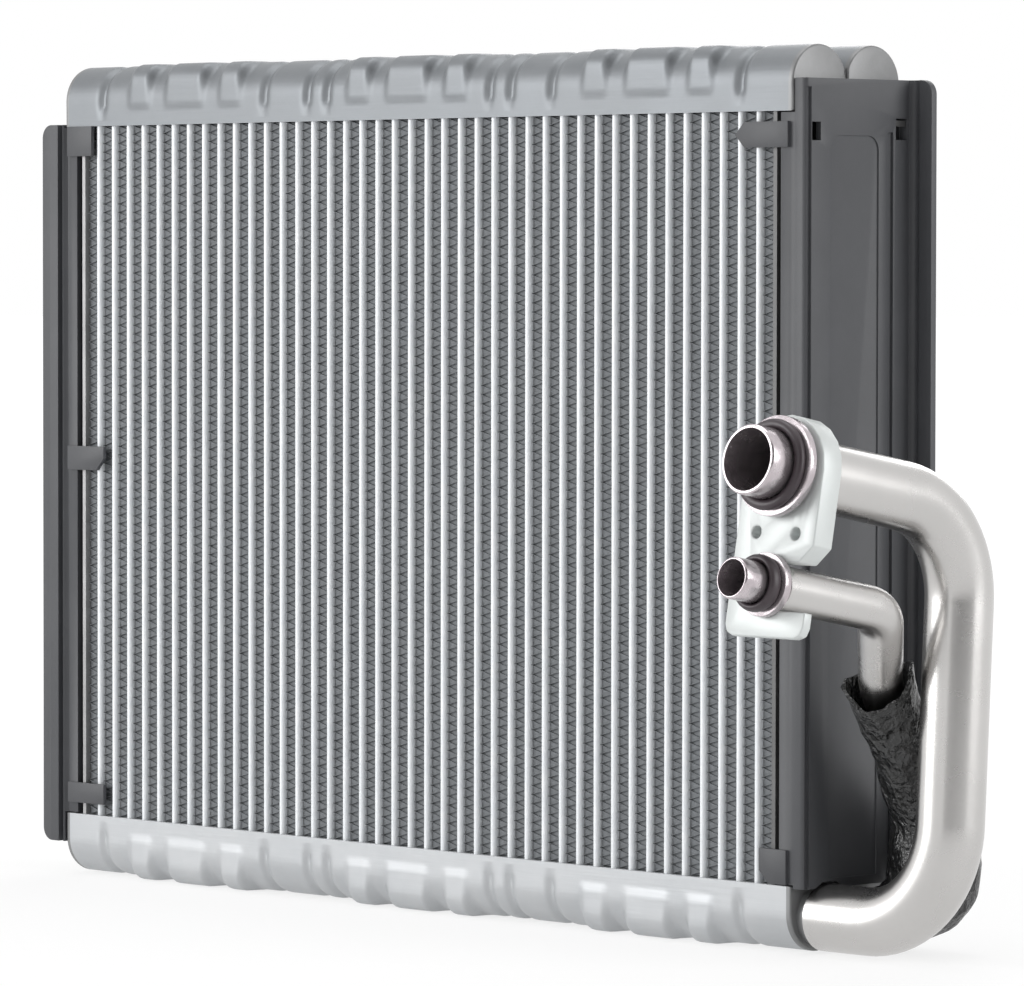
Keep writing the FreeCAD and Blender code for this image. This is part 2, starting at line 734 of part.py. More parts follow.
def left_cover():
    """The left end cover: its flange turns out at the front, and it reaches down past the core."""
    outer = cover_outer(left_cover_reach)
    top = cover_top()
    low = top - cover_length
    lip = stack_half + side_plate_sheet + lip_gap
    shape = cover_channel(left_cover_reach, left_flange_width)
    clips = []
    for place, row, cut_side in ((low, left_low_clip, ""), (core_middle, left_middle_clip, "top"),
                                 (core_top, left_high_clip, "")):
        reach, offset, width = row
        z0 = place + offset if place == low else place - offset
        clips.append(clip(lip, lip - reach, z0, z0 + width, cut_side))
    clips = [c.mirror(Vector(0, 0, 0), Y_AXIS) for c in clips] + clips
    groove_y = tube_depth / 2 + lip_proud + flange_step
    groove_cut = flange_root_groove(outer, groove_y, low, 1)
    shape = shape.fuse(clips).cut([groove_cut] + header_room(cover_overlap + 1, 1))
    turned = flip_over(one_solid(shape)).mirror(Vector(0, 0, 0), Y_AXIS)
    return turned.mirror(Vector(0, 0, 0), X_AXIS)


save("upper_tank", tank())
save("lower_tank", lower_tank())
save("upper_header_plate", header_plate())
save("lower_header_plate", flip_over(header_plate()))
save("flat_tubes", tubes())
save("fin_strips", fins())
save("right_side_plate", tabbed_side_plate())
save("left_side_plate", side_plate().mirror(Vector(0, 0, 0), X_AXIS))
save("upper_right_end_cap", end_cap())
save("upper_left_end_cap", end_cap().mirror(Vector(0, 0, 0), X_AXIS))
save("lower_left_end_cap", flip_over(end_cap()).mirror(Vector(0, 0, 0), X_AXIS))
save("lower_right_end_cap", port_cap())
save("front_baffle", baffle(-1))
save("rear_baffle", baffle(1))
save("suction_pipe", pipe(suction_route(), (suction_bend, suction_bend), suction_radius, suction_wall,
                          pipe_sides))
save("liquid_pipe", pipe(liquid_route(), liquid_bends, liquid_radius, liquid_wall, liquid_pipe_sides))
save("suction_spigot", spigot(along(0), suction_radius, suction_radius - suction_wall,
                              suction_collar_radius, suction_collar_setback, suction_ring_half))
save("liquid_spigot", spigot(liquid_along(0), liquid_spigot_radius, liquid_radius - liquid_wall,
                             liquid_collar_radius, liquid_collar_setback, liquid_ring_half))
save("suction_seal_ring", seal_ring(along(0), suction_radius, suction_ring_half, suction_collar_setback))
save("liquid_seal_ring", seal_ring(liquid_along(0), liquid_spigot_radius, liquid_ring_half,
                                   liquid_collar_setback))
save("connector_plate", connector_plate())
save("liquid_pipe_wrap", pipe_wrap())
save("right_cover", right_cover())
save("left_cover", left_cover())
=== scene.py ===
"""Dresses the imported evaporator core: full-pitch fins, smooth pipes, crinkled tape and finishes.

Metres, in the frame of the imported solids: X along the headers, Y from the front to the back, Z up.
"""
import logging
import math
from collections.abc import Callable
from dataclasses import dataclass, field
from enum import Enum

import bpy
from mathutils import Matrix, Vector


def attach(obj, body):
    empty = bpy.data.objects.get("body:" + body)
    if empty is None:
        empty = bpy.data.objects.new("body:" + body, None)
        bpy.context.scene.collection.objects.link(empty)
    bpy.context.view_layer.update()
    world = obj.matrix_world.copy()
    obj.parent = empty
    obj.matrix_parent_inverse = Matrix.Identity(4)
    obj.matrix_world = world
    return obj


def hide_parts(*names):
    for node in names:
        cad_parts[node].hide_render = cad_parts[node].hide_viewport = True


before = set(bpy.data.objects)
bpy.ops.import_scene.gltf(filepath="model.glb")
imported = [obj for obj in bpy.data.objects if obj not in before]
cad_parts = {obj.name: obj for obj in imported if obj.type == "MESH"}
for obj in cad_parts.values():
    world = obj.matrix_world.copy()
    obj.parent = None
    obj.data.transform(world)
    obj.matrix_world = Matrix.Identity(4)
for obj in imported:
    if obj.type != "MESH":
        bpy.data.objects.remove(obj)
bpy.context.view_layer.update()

LOG = logging.getLogger("evaporator_core")
BODY = "root"
NEAR = 1e-5
WELD = 2e-6
FLAT_DEGREES = 0.4
SHARP_DEGREES = 40
MIX_LOW, MIX_HIGH, MIX_RESULT = 6, 7, 2
WHITE = (1.0, 1.0, 1.0, 1.0)
Piece = bpy.types.Object
Tree = bpy.types.NodeTree
Node = bpy.types.Node
Socket = bpy.types.NodeSocket
Material = bpy.types.Material
Numbers = tuple[float, ...]
Pair = tuple[float, float]
Triple = tuple[float, float, float]


class Slot(Enum):
    """The material slots of the record."""

    HEADER = "header_metal"
    TUBE = "tube_metal"
    FIN = "fin_metal"
    COVER = "cover_plastic"
    PIPE = "pipe_metal"
    WRAP = "wrap_tape"
    SPIGOT = "spigot_metal"
    RUBBER = "seal_rubber"
    PLATE = "plate_metal"


class Axis(Enum):
    """Directions in which rolled or drawn metal shows its lines, as noise stretch per axis."""

    ALONG_X = (0.06, 1.0, 1.0)
    ALONG_Z = (1.0, 1.0, 0.06)
    NONE = (1.0, 1.0, 1.0)


# Handling of objects

def clear_selection() -> None:
    """Leaves edit mode if it is on and deselects everything."""
    if bpy.context.mode != "OBJECT":
        bpy.ops.object.mode_set(mode="OBJECT")
    bpy.ops.object.select_all(action="DESELECT")


def activate(piece: Piece) -> None:
    """Selects one piece alone and makes it active."""
    clear_selection()
    piece.select_set(True)
    bpy.context.view_layer.objects.active = piece


def place_new(name: str, data: bpy.types.ID) -> Piece:
    """Puts a new object in the scene for a mesh, a camera or a lamp."""
    piece = bpy.data.objects.new(name, data)
    bpy.context.scene.collection.objects.link(piece)
    return piece


def edit_all() -> None:
    """Goes to edit mode of the active piece with all of it selected."""
    bpy.ops.object.mode_set(mode="EDIT")
    bpy.ops.mesh.select_all(action="SELECT")


def object_mode() -> None:
    """Leaves edit mode."""
    bpy.ops.object.mode_set(mode="OBJECT")


def face_outwards() -> None:
    """Turns all faces of the mesh in edit mode outwards and leaves edit mode."""
    bpy.ops.mesh.select_all(action="SELECT")
    bpy.ops.mesh.normals_make_consistent(inside=False)
    object_mode()


def select_edges(piece: Piece, wanted: Callable[[Vector, Vector], bool]) -> None:
    """Goes to edit mode with the edges selected whose two ends pass a test.

    Args:
        piece: the piece.
        wanted: the test.
    """
    activate(piece)
    edit_all()
    bpy.ops.mesh.select_mode(type="EDGE")
    object_mode()
    for items in (piece.data.vertices, piece.data.polygons):
        items.foreach_set("select", [False] * len(items))
    for edge in piece.data.edges:
        edge.select = wanted(*(piece.data.vertices[i].co for i in edge.vertices))
    bpy.ops.object.mode_set(mode="EDIT")


def settle(piece: Piece, name: str) -> None:
    """Puts the active piece's place, turn and scale in its mesh and names it."""
    object_mode()
    bpy.ops.object.transform_apply(location=True, rotation=True, scale=True)
    piece.name = name
    piece.data.name = name


def make(name: str, primitive: Callable, **values) -> Piece:
    """Makes a primitive mesh.

    Args:
        name: the piece's name.
        primitive: Blender's operator for it.
        values: the operator's settings.

    Returns:
        The piece, with its place and turn in its mesh.
    """
    clear_selection()
    primitive(**values)
    settle(bpy.context.object, name)
    return bpy.context.object


def make_ring(name: str, sides: int, radius: float, at: Vector, axis: Vector) -> Piece:
    """Makes an open ring of edges round an axis."""
    return make(name, bpy.ops.mesh.primitive_circle_add, vertices=sides, radius=radius, location=at,
                rotation=axis.to_track_quat("Z", "Y").to_euler())


def apply_modifier(piece: Piece, kind: str, **values) -> None:
    """Adds one modifier to a piece and applies it.

    Args:
        piece: the object that gets it.
        kind: Blender's type name of the modifier.
        values: its settings.
    """
    activate(piece)
    modifier = piece.modifiers.new(kind.lower(), kind)
    for key, value in values.items():
        setattr(modifier, key, value)
    bpy.ops.object.modifier_apply(modifier=modifier.name)


def repeat(piece: Piece, count: int, step: Triple, **more) -> None:
    """Repeats a piece in a row.

    Args:
        piece: the first one.
        count: how many there are in all.
        step: the way from one to the next.
        more: further settings of the array.
    """
    apply_modifier(piece, "ARRAY", count=count, use_relative_offset=False, use_constant_offset=True,
                   constant_offset_displace=step, **more)


def smooth(piece: Piece, degrees: float) -> None:
    """Shades a piece smooth, apart from edges sharper than an angle."""
    activate(piece)
    bpy.ops.object.shade_smooth_by_angle(angle=math.radians(degrees))


def cut_box(piece: Piece, box: Numbers) -> None:
    """Cuts a box out of a closed piece.

    Args:
        piece: the piece.
        box: its limits, low and high along X, then Y, then Z.
    """
    clear_selection()
    x0, x1, y0, y1, z0, z1 = box
    bpy.ops.mesh.primitive_cube_add(size=1, location=((x0 + x1) / 2, (y0 + y1) / 2, (z0 + z1) / 2))
    cutter = bpy.context.object
    cutter.scale = (x1 - x0, y1 - y0, z1 - z0)
    settle(cutter, "cutter")
    apply_modifier(piece, "BOOLEAN", operation="DIFFERENCE", object=cutter, solver="EXACT")
    activate(cutter)
    bpy.ops.object.delete()


def refined_copy(node: str, name: str, degrees: float, bevel: float = 0.0,
                 cuts: tuple[Numbers, ...] = (),
                 levelled: Numbers = ()) -> Piece:
    """Copies a solid's mesh, joins its loose triangles, cuts its grooves and rounds its edges.

    Args:
        node: the solid's node.
        name: name of the copy.
        degrees: angle under which edges are shaded smooth.
        bevel: width of the rounding on sharper edges, or 0 for none.
        cuts: boxes of its fine grooves.
        levelled: low and high X, Y of the face and depth of a strip whose front is made flat.

    Returns:
        The copy, with its own mesh.
    """
    clear_selection()
    piece = place_new(name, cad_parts[node].data.copy())
    activate(piece)
    edit_all()
    bpy.ops.mesh.remove_doubles(threshold=WELD)
    bpy.ops.mesh.dissolve_limited(angle_limit=math.radians(FLAT_DEGREES))
    object_mode()
    if levelled:
        low, high, face, depth = levelled
        for vertex in piece.data.vertices:
            if low < vertex.co.x < high and vertex.co.y < face + depth:
                vertex.co.y = face
    for box in cuts:
        cut_box(piece, box)
    if bevel:
        apply_modifier(piece, "BEVEL", width=bevel, segments=2, limit_method="ANGLE",
                       angle_limit=math.radians(SHARP_DEGREES), use_clamp_overlap=True)
    smooth(piece, degrees)
    return piece


# Shader groups shared by the finishes

def new_group(name: str, inputs: dict[str, object], outputs: dict[str, str]) -> tuple[Tree, Node, Node]:
    """Makes a shader group with its sockets.

    Args:
        name: its name.
        inputs: starting values by label: a number, a vector of 3 or a colour of 4.
        outputs: Color or Float by label.

    Returns:
        The tree, its input node and its output node.
    """
    tree = bpy.data.node_groups.new(name, "ShaderNodeTree")
    for label, value in inputs.items():
        kind = "Float" if isinstance(value, float) else {3: "Vector", 4: "Color"}[len(value)]
        socket = tree.interface.new_socket(label, in_out="INPUT", socket_type=f"NodeSocket{kind}")
        socket.default_value = value
    for label, kind in outputs.items():
        tree.interface.new_socket(label, in_out="OUTPUT", socket_type=f"NodeSocket{kind}")
    return tree, tree.nodes.new("NodeGroupInput"), tree.nodes.new("NodeGroupOutput")


def add_node(tree: Tree, kind: str, **values) -> Node:
    """Adds a node of one type and sets its options, such as operation."""
    node = tree.nodes.new(kind)
    for key, value in values.items():
        setattr(node, key, value)
    return node


def feed(target: Socket, value) -> None:
    """Links a socket to another one, or gives it a constant."""
    if isinstance(value, Socket):
        target.id_data.links.new(value, target)
    else:
        target.default_value = value


def set_inputs(node: Node, **values) -> None:
    """Feeds a node's inputs by name, with underscores for spaces."""
    for key, value in values.items():
        feed(node.inputs[key.replace("_", " ")], value)


def maths(tree: Tree, operation: str, *values) -> Socket:
    """One step of arithmetic with sockets or numbers."""
    node = add_node(tree, "ShaderNodeMath", operation=operation)
    for target, value in zip(node.inputs, values):
        feed(target, value)
    return node.outputs[0]


def scaled_noise(tree: Tree, scale, stretch, detail: float, rough: float) -> Node:
    """Noise on Object coordinates.

    Args:
        tree: the tree that gets it.
        scale: a socket or a number.
        stretch: a socket or a vector that scales the coordinates.
        detail: octaves of the noise.
        rough: roughness of the octaves.

    Returns:
        The noise node.
    """
    place = add_node(tree, "ShaderNodeTexCoord")
    mapping = add_node(tree, "ShaderNodeMapping")
    noise = add_node(tree, "ShaderNodeTexNoise")
    set_inputs(mapping, Vector=place.outputs["Object"], Scale=stretch)
    set_inputs(noise, Vector=mapping.outputs["Vector"], Scale=scale, Detail=detail, Roughness=rough)
    return noise


def ranged(tree: Tree, source: Socket, low, high, **more) -> Socket:
    """Spreads a value between two limits over 0 to 1, or over the limits in more."""
    node = add_node(tree, "ShaderNodeMapRange", clamp=True)
    set_inputs(node, Value=source, From_Min=low, From_Max=high, **more)
    return node.outputs["Result"]


def mixed(tree: Tree, mask: Socket, low, high) -> Socket:
    """Mixes two colours by a mask; each colour is a socket or a tuple."""
    node = add_node(tree, "ShaderNodeMix", data_type="RGBA")
    set_inputs(node, Factor=mask)
    feed(node.inputs[MIX_LOW], low)
    feed(node.inputs[MIX_HIGH], high)
    return node.outputs[MIX_RESULT]


def mottle_group() -> Tree:
    """Patches of a second colour, as on brazed aluminium, and their mask."""
    tree, enter, leave = new_group(
        "patchy_metal", {"Color": WHITE, "Patch Color": WHITE, "Scale": 100.0, "Low": 0.4, "High": 0.6},
        {"Color": "Color", "Mask": "Float"})
    noise = scaled_noise(tree, enter.outputs["Scale"], (1, 1, 1), detail=6.0, rough=0.62)
    mask = ranged(tree, noise.outputs["Fac"], enter.outputs["Low"], enter.outputs["High"])
    colour = mixed(tree, mask, enter.outputs["Color"], enter.outputs["Patch Color"])
    set_inputs(leave, Color=colour, Mask=mask)
    return tree


def grain_group() -> Tree:
    """Fine grain or drawn lines, as a height around 0.5."""
    tree, enter, leave = new_group("drawn_grain", {"Scale": 900.0, "Stretch": (1, 1, 1)}, {"Height": "Float"})
    noise = scaled_noise(tree, enter.outputs["Scale"], enter.outputs["Stretch"], detail=3.0, rough=0.6)
    set_inputs(leave, Height=noise.outputs["Fac"])
    return tree


def crinkle_group() -> Tree:
    """Folded creases of thin tape: a ridged height and a mask of the crests, where a lighter colour is
    painted as sheen.
    """
    tree, enter, leave = new_group("tape_creases", {"Scale": 120.0, "Stretch": (1, 1, 1)},
                                   {"Height": "Float", "Crest": "Float"})
    noise = scaled_noise(tree, enter.outputs["Scale"], enter.outputs["Stretch"], detail=3.0, rough=0.55)
    middle, ridge_half, sheen_from = 0.5, 0.16, 0.8
    centred = maths(tree, "SUBTRACT", noise.outputs["Fac"], middle)
    height = ranged(tree, maths(tree, "ABSOLUTE", centred), ridge_half, 0.0)
    set_inputs(leave, Height=height, Crest=ranged(tree, height, sheen_from, 1.0))
    return tree


@dataclass
class Groups:
    """The shader groups, each built once."""

    mottle: Tree = field(default_factory=mottle_group)
    grain: Tree = field(default_factory=grain_group)
    creases: Tree = field(default_factory=crinkle_group)


def place_group(tree: Tree, group: Tree, **values) -> Node:
    """Places a shader group in a material and sets its inputs."""
    node = tree.nodes.new("ShaderNodeGroup")
    node.node_tree = group
    set_inputs(node, **values)
    return node


def grey(level: float, warm: float = 0.0) -> Numbers:
    """A near-neutral colour, with more red and less blue where warm is positive."""
    return (level * (1 + warm), level, level * (1 - warm), 1.0)


def new_material(name: str) -> tuple[Material, Tree, Node]:
    """Makes a material with its Principled shader.

    Returns:
        The material, its tree and the shader.
    """
    material = bpy.data.materials.new(name)
    material.use_nodes = True
    tree = material.node_tree
    return material, tree, tree.nodes["Principled BSDF"]


def bump(tree: Tree, shader: Node, heights: list) -> None:
    """Feeds a chain of bumps, each a height socket and a depth in metres, to a shader's normal."""
    last = None
    for height, depth in heights:
        node = add_node(tree, "ShaderNodeBump")
        set_inputs(node, Strength=1.0, Distance=depth, Height=height)
        if last is not None:
            set_inputs(node, Normal=last)
        last = node.outputs["Normal"]
    set_inputs(shader, Normal=last)


@dataclass(frozen=True)
class SurfaceFinish:
    """Metal, plastic or rubber with soft patches of a second colour and a fine or drawn grain."""

    name: str
    colour: Numbers
    patch: Numbers
    metallic: float
    rough_low: float
    rough_high: float
    patch_scale: float = 90.0
    patch_range: Pair = (0.42, 0.66)
    grain: Axis = Axis.NONE
    grain_scale: float = 900.0
    grain_depth: float = 0.00004
    rough_by_grain: bool = False

    def build(self, groups: Groups) -> Material:
        """Makes the material from the shared groups."""
        material, tree, shader = new_material(self.name)
        mottle = place_group(tree, groups.mottle, Color=self.colour, Patch_Color=self.patch,
                             Scale=self.patch_scale, Low=self.patch_range[0], High=self.patch_range[1])
        grain = place_group(tree, groups.grain, Scale=self.grain_scale, Stretch=self.grain.value)
        wear = grain.outputs["Height"] if self.rough_by_grain else mottle.outputs["Mask"]
        rough = ranged(tree, wear, 0.0, 1.0, To_Min=self.rough_low, To_Max=self.rough_high)
        set_inputs(shader, Base_Color=mottle.outputs["Color"], Roughness=rough, Metallic=self.metallic)
        bump(tree, shader, [(grain.outputs["Height"], self.grain_depth)])
        return material


@dataclass(frozen=True)
class TapeFinish:
    """Thin dark tape with creases whose crests are worn shiny, with a lighter colour painted on them as
    sheen.
    """

    name: str
    colour: Numbers
    patch: Numbers
    crest: Numbers
    valley_rough: float = 0.40
    crest_rough: float = 0.18
    specular: float = 0.6
    patch_scale: float = 140.0
    patch_range: Pair = (0.45, 0.7)
    creases: tuple[tuple[float, Triple, float], ...] = (
        (95.0, (1.0, 1.0, 0.7), 0.0009), (330.0, (1.0, 1.0, 0.8), 0.0003))

    def build(self, groups: Groups) -> Material:
        """Makes the material from the shared groups."""
        material, tree, shader = new_material(self.name)
        nodes = [place_group(tree, groups.creases, Scale=scale, Stretch=stretch)
                 for scale, stretch, depth in self.creases]
        coarse = nodes[0]
        mottle = place_group(tree, groups.mottle, Color=self.colour, Patch_Color=self.patch,
                             Scale=self.patch_scale, Low=self.patch_range[0], High=self.patch_range[1])
        # painted sheen: the crests get the lighter crest colour
        colour = mixed(tree, coarse.outputs["Crest"], mottle.outputs["Color"], self.crest)
        rough = ranged(tree, coarse.outputs["Height"], 0.0, 1.0, To_Min=self.valley_rough,
                       To_Max=self.crest_rough)
        set_inputs(shader, Base_Color=colour, Roughness=rough, Specular_IOR_Level=self.specular)
        bump(tree, shader, [(node.outputs["Height"], crease[2]) for node, crease in zip(nodes, self.creases)])
        return material


@dataclass
class Finishes:
    """All finishes of the object, by the nodes and pieces that wear them."""

    groups: Groups
    made: dict[str, Material] = field(default_factory=dict)

    def build(self) -> None:
        """Makes every material."""
        moulded = {"patch_scale": 45.0, "patch_range": (0.45, 0.75), "grain_scale": 2200.0,
                   "grain_depth": 0.00003, "rough_by_grain": True}
        looks = [
            SurfaceFinish("upper_header_aluminium", grey(0.205, -0.06), grey(0.245, -0.05), 0.5, 0.42, 0.52,
                          patch_scale=45.0, patch_range=(0.35, 0.75), grain=Axis.ALONG_X),
            SurfaceFinish("lower_header_aluminium", grey(0.49, -0.03), grey(0.55, -0.02), 0.4, 0.42, 0.52,
                          patch_scale=50.0, patch_range=(0.35, 0.75), grain=Axis.ALONG_X),
            SurfaceFinish("tube_aluminium", grey(0.88, -0.03), grey(0.95, -0.02), 0.15, 0.4, 0.55,
                          patch_scale=160.0, grain=Axis.ALONG_Z),
            # painted shade: the fins' aluminium is darkened to stand for the shade deep between the tubes and
            # in the folds
            SurfaceFinish("fin_aluminium_painted_shade", grey(0.20, -0.05), grey(0.26, -0.05), 0.1, 0.7, 0.8,
                          patch_scale=420.0, patch_range=(0.4, 0.7), grain_scale=1500.0),
            # painted light and shade: one plate aluminium as a lighter copy for the left side plate and a
            # darkened copy for the right side plate and baffles, which lie in the right cover's shade
            SurfaceFinish("side_plate_painted_lit", grey(0.32), grey(0.42), 0.5, 0.42, 0.55),
            SurfaceFinish("side_plate_painted_shade", grey(0.10), grey(0.14), 0.5, 0.42, 0.55),
            SurfaceFinish("cap_aluminium", grey(0.21, -0.01), grey(0.28, -0.01), 0.5, 0.4, 0.55,
                          patch_scale=60.0, patch_range=(0.35, 0.75)),
            SurfaceFinish("pipe_aluminium", grey(0.52, 0.02), grey(0.57, 0.02), 1.0, 0.25, 0.32,
                          patch_scale=35.0, patch_range=(0.3, 0.8), grain_scale=1300.0, grain_depth=0.00001),
            SurfaceFinish("spigot_aluminium", (0.50, 0.45, 0.47, 1.0), (0.60, 0.55, 0.57, 1.0), 0.85,
                          0.2, 0.3, patch_scale=220.0, grain_scale=1600.0, grain_depth=0.00001),
            SurfaceFinish("plate_aluminium", (0.62, 0.65, 0.642, 1.0), (0.69, 0.72, 0.712, 1.0), 0.2, 0.4,
                          0.5, patch_scale=60.0, patch_range=(0.35, 0.8), grain_scale=1500.0,
                          grain_depth=0.00003),
            SurfaceFinish("cover_plastic_grey", (0.062, 0.064, 0.070, 1.0), (0.074, 0.076, 0.083, 1.0), 0.0,
                          0.44, 0.56, **moulded),
            SurfaceFinish("seal_rubber_plum", (0.042, 0.030, 0.036, 1.0), (0.055, 0.042, 0.048, 1.0), 0.0,
                          0.36, 0.48, **moulded),
            # the third colour is painted sheen on the tape's crests
            TapeFinish("crinkled_tape", grey(0.011, -0.03), grey(0.02), grey(0.035, -0.02)),
        ]
        for look in looks:
            self.made[look.name] = look.build(self.groups)
            LOG.info("finish %s", look.name)

    def put(self, piece: Piece, name: str) -> None:
        """Gives every slot of an object one material."""
        if not piece.material_slots:
            piece.data.materials.append(self.made[name])
        for place in piece.material_slots:
            place.material = self.made[name]


# New pieces

def add_piece(piece: Piece, nodes: tuple[str, ...]) -> None:
    """Lets a finished piece ride on the body and stand for its nodes.

    Args:
        piece: the piece.
        nodes: the solids that it stands for.
    """
    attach(piece, BODY)
    if nodes:
        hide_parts(*nodes)
    LOG.info("piece %s, %d faces", piece.name, len(piece.data.polygons))


@dataclass
class FoldedFins:
    """The fin strips with their real number of folds."""

    tube_count: int = 41
    tube_pitch: float = 0.007
    gap: float = 0.005
    depth: float = 0.038
    bottom: float = 0.0184
    height: float = 0.2095
    waves: int = 80
    sheet: float = 0.00011
    crest: float = 0.00022
    bank_place: float = 0.48
    bank_play: float = 0.0004

    def build(self, finishes: Finishes) -> None:
        """Folds one strip from a plane and repeats it across the core."""
        leg = self.height / self.waves / 2
        span = self.gap - 2 * self.sheet
        clear_selection()
        start = -self.tube_count / 2 * self.tube_pitch
        bpy.ops.mesh.primitive_plane_add(size=1, location=(start, 0, self.bottom))
        strip = bpy.context.object
        edit_all()
        bpy.ops.transform.resize(value=(span, self.depth, 1), center_override=(start, 0, self.bottom))
        settle(strip, "folded_fins")
        side = start + span / 2
        select_edges(strip, lambda a, b: max(abs(a.x - side), abs(b.x - side)) < NEAR)
        bpy.ops.transform.translate(value=(0, 0, leg))
        bpy.ops.mesh.extrude_edges_move(TRANSFORM_OT_translate={"value": (-span, 0, leg)})
        object_mode()
        repeat(strip, self.waves, (0, 0, 2 * leg), use_merge_vertices=True, merge_threshold=2 * NEAR)
        self.round_crests(strip, start, span)
        apply_modifier(strip, "SOLIDIFY", thickness=self.sheet, offset=0.0)
        repeat(strip, self.tube_count + 1, (self.tube_pitch, 0, 0))
        banks = [self.louvre_bank(start, side) for side in (-1, 1)]
        activate(strip)
        for bank in banks:
            bank.select_set(True)
        bpy.ops.object.join()
        # painted shade: the strips and their louvre sheets get the darkened fin colour
        finishes.put(strip, "fin_aluminium_painted_shade")
        add_piece(strip, ("fin_strips",))

    def louvre_bank(self, start: float, side: int) -> Piece:
        """The cut and twisted louvres that close the view into the folds, as one sheet per strip.

        Args:
            start: X of the first strip.
            side: -1 behind the front edges, 1 before the rear ones.

        Returns:
            The sheets of all strips.
        """
        place = (start, side * self.depth * self.bank_place, self.bottom + self.height / 2)
        bank = make("louvre_bank", bpy.ops.mesh.primitive_plane_add, size=1, location=place,
                    rotation=(math.pi / 2, 0, 0))
        edit_all()
        width = self.gap - 2 * self.sheet
        bpy.ops.transform.resize(value=(width, 1, self.height - self.bank_play), center_override=place)
        object_mode()
        repeat(bank, self.tube_count + 1, (self.tube_pitch, 0, 0))
        return bank

    def round_crests(self, strip: Piece, start: float, span: float) -> None:
        """Rounds the folds, which run from the front to the back."""
        low = self.bottom + NEAR
        high = self.bottom + self.height - NEAR
        select_edges(strip, lambda a, b: (abs(a.y - b.y) > self.depth / 2 and low < a.z < high
                                          and abs(abs(a.x - start) - span / 2) < NEAR))
        bpy.ops.mesh.bevel(offset=self.crest, segments=2, affect="EDGES")
        object_mode()


@dataclass
class TwinBarrel:
    """The outline that tanks and caps share: two round crowns and the valley between them."""

    name: str
    upside_down: bool = False
    half_length: float = 0.15255
    barrel_y: float = 0.0104
    radius: float = 0.0106
    axis_z: float = 0.2355
    core_middle: float = 0.12315
    crown_steps: int = 26

    def crown_turns(self) -> list[float]:
        """Angles over the rear barrel, from its outer side to the valley."""
        valley = math.pi - math.acos(self.barrel_y / self.radius)
        return [valley * i / self.crown_steps for i in range(self.crown_steps + 1)]

    def over_crown(self, turn: float, reach: float, last: bool) -> Pair:
        """One point over the rear barrel; the last one lies in the valley."""
        y = 0.0 if last else self.barrel_y + reach * math.cos(turn)
        return y, self.axis_z + reach * math.sin(turn)

    def both_halves(self, half: list[Pair]) -> list[Pair]:
        """The whole outline from the front to the back, from its rear half."""
        return [(-y, z) for y, z in half] + half[-2::-1]


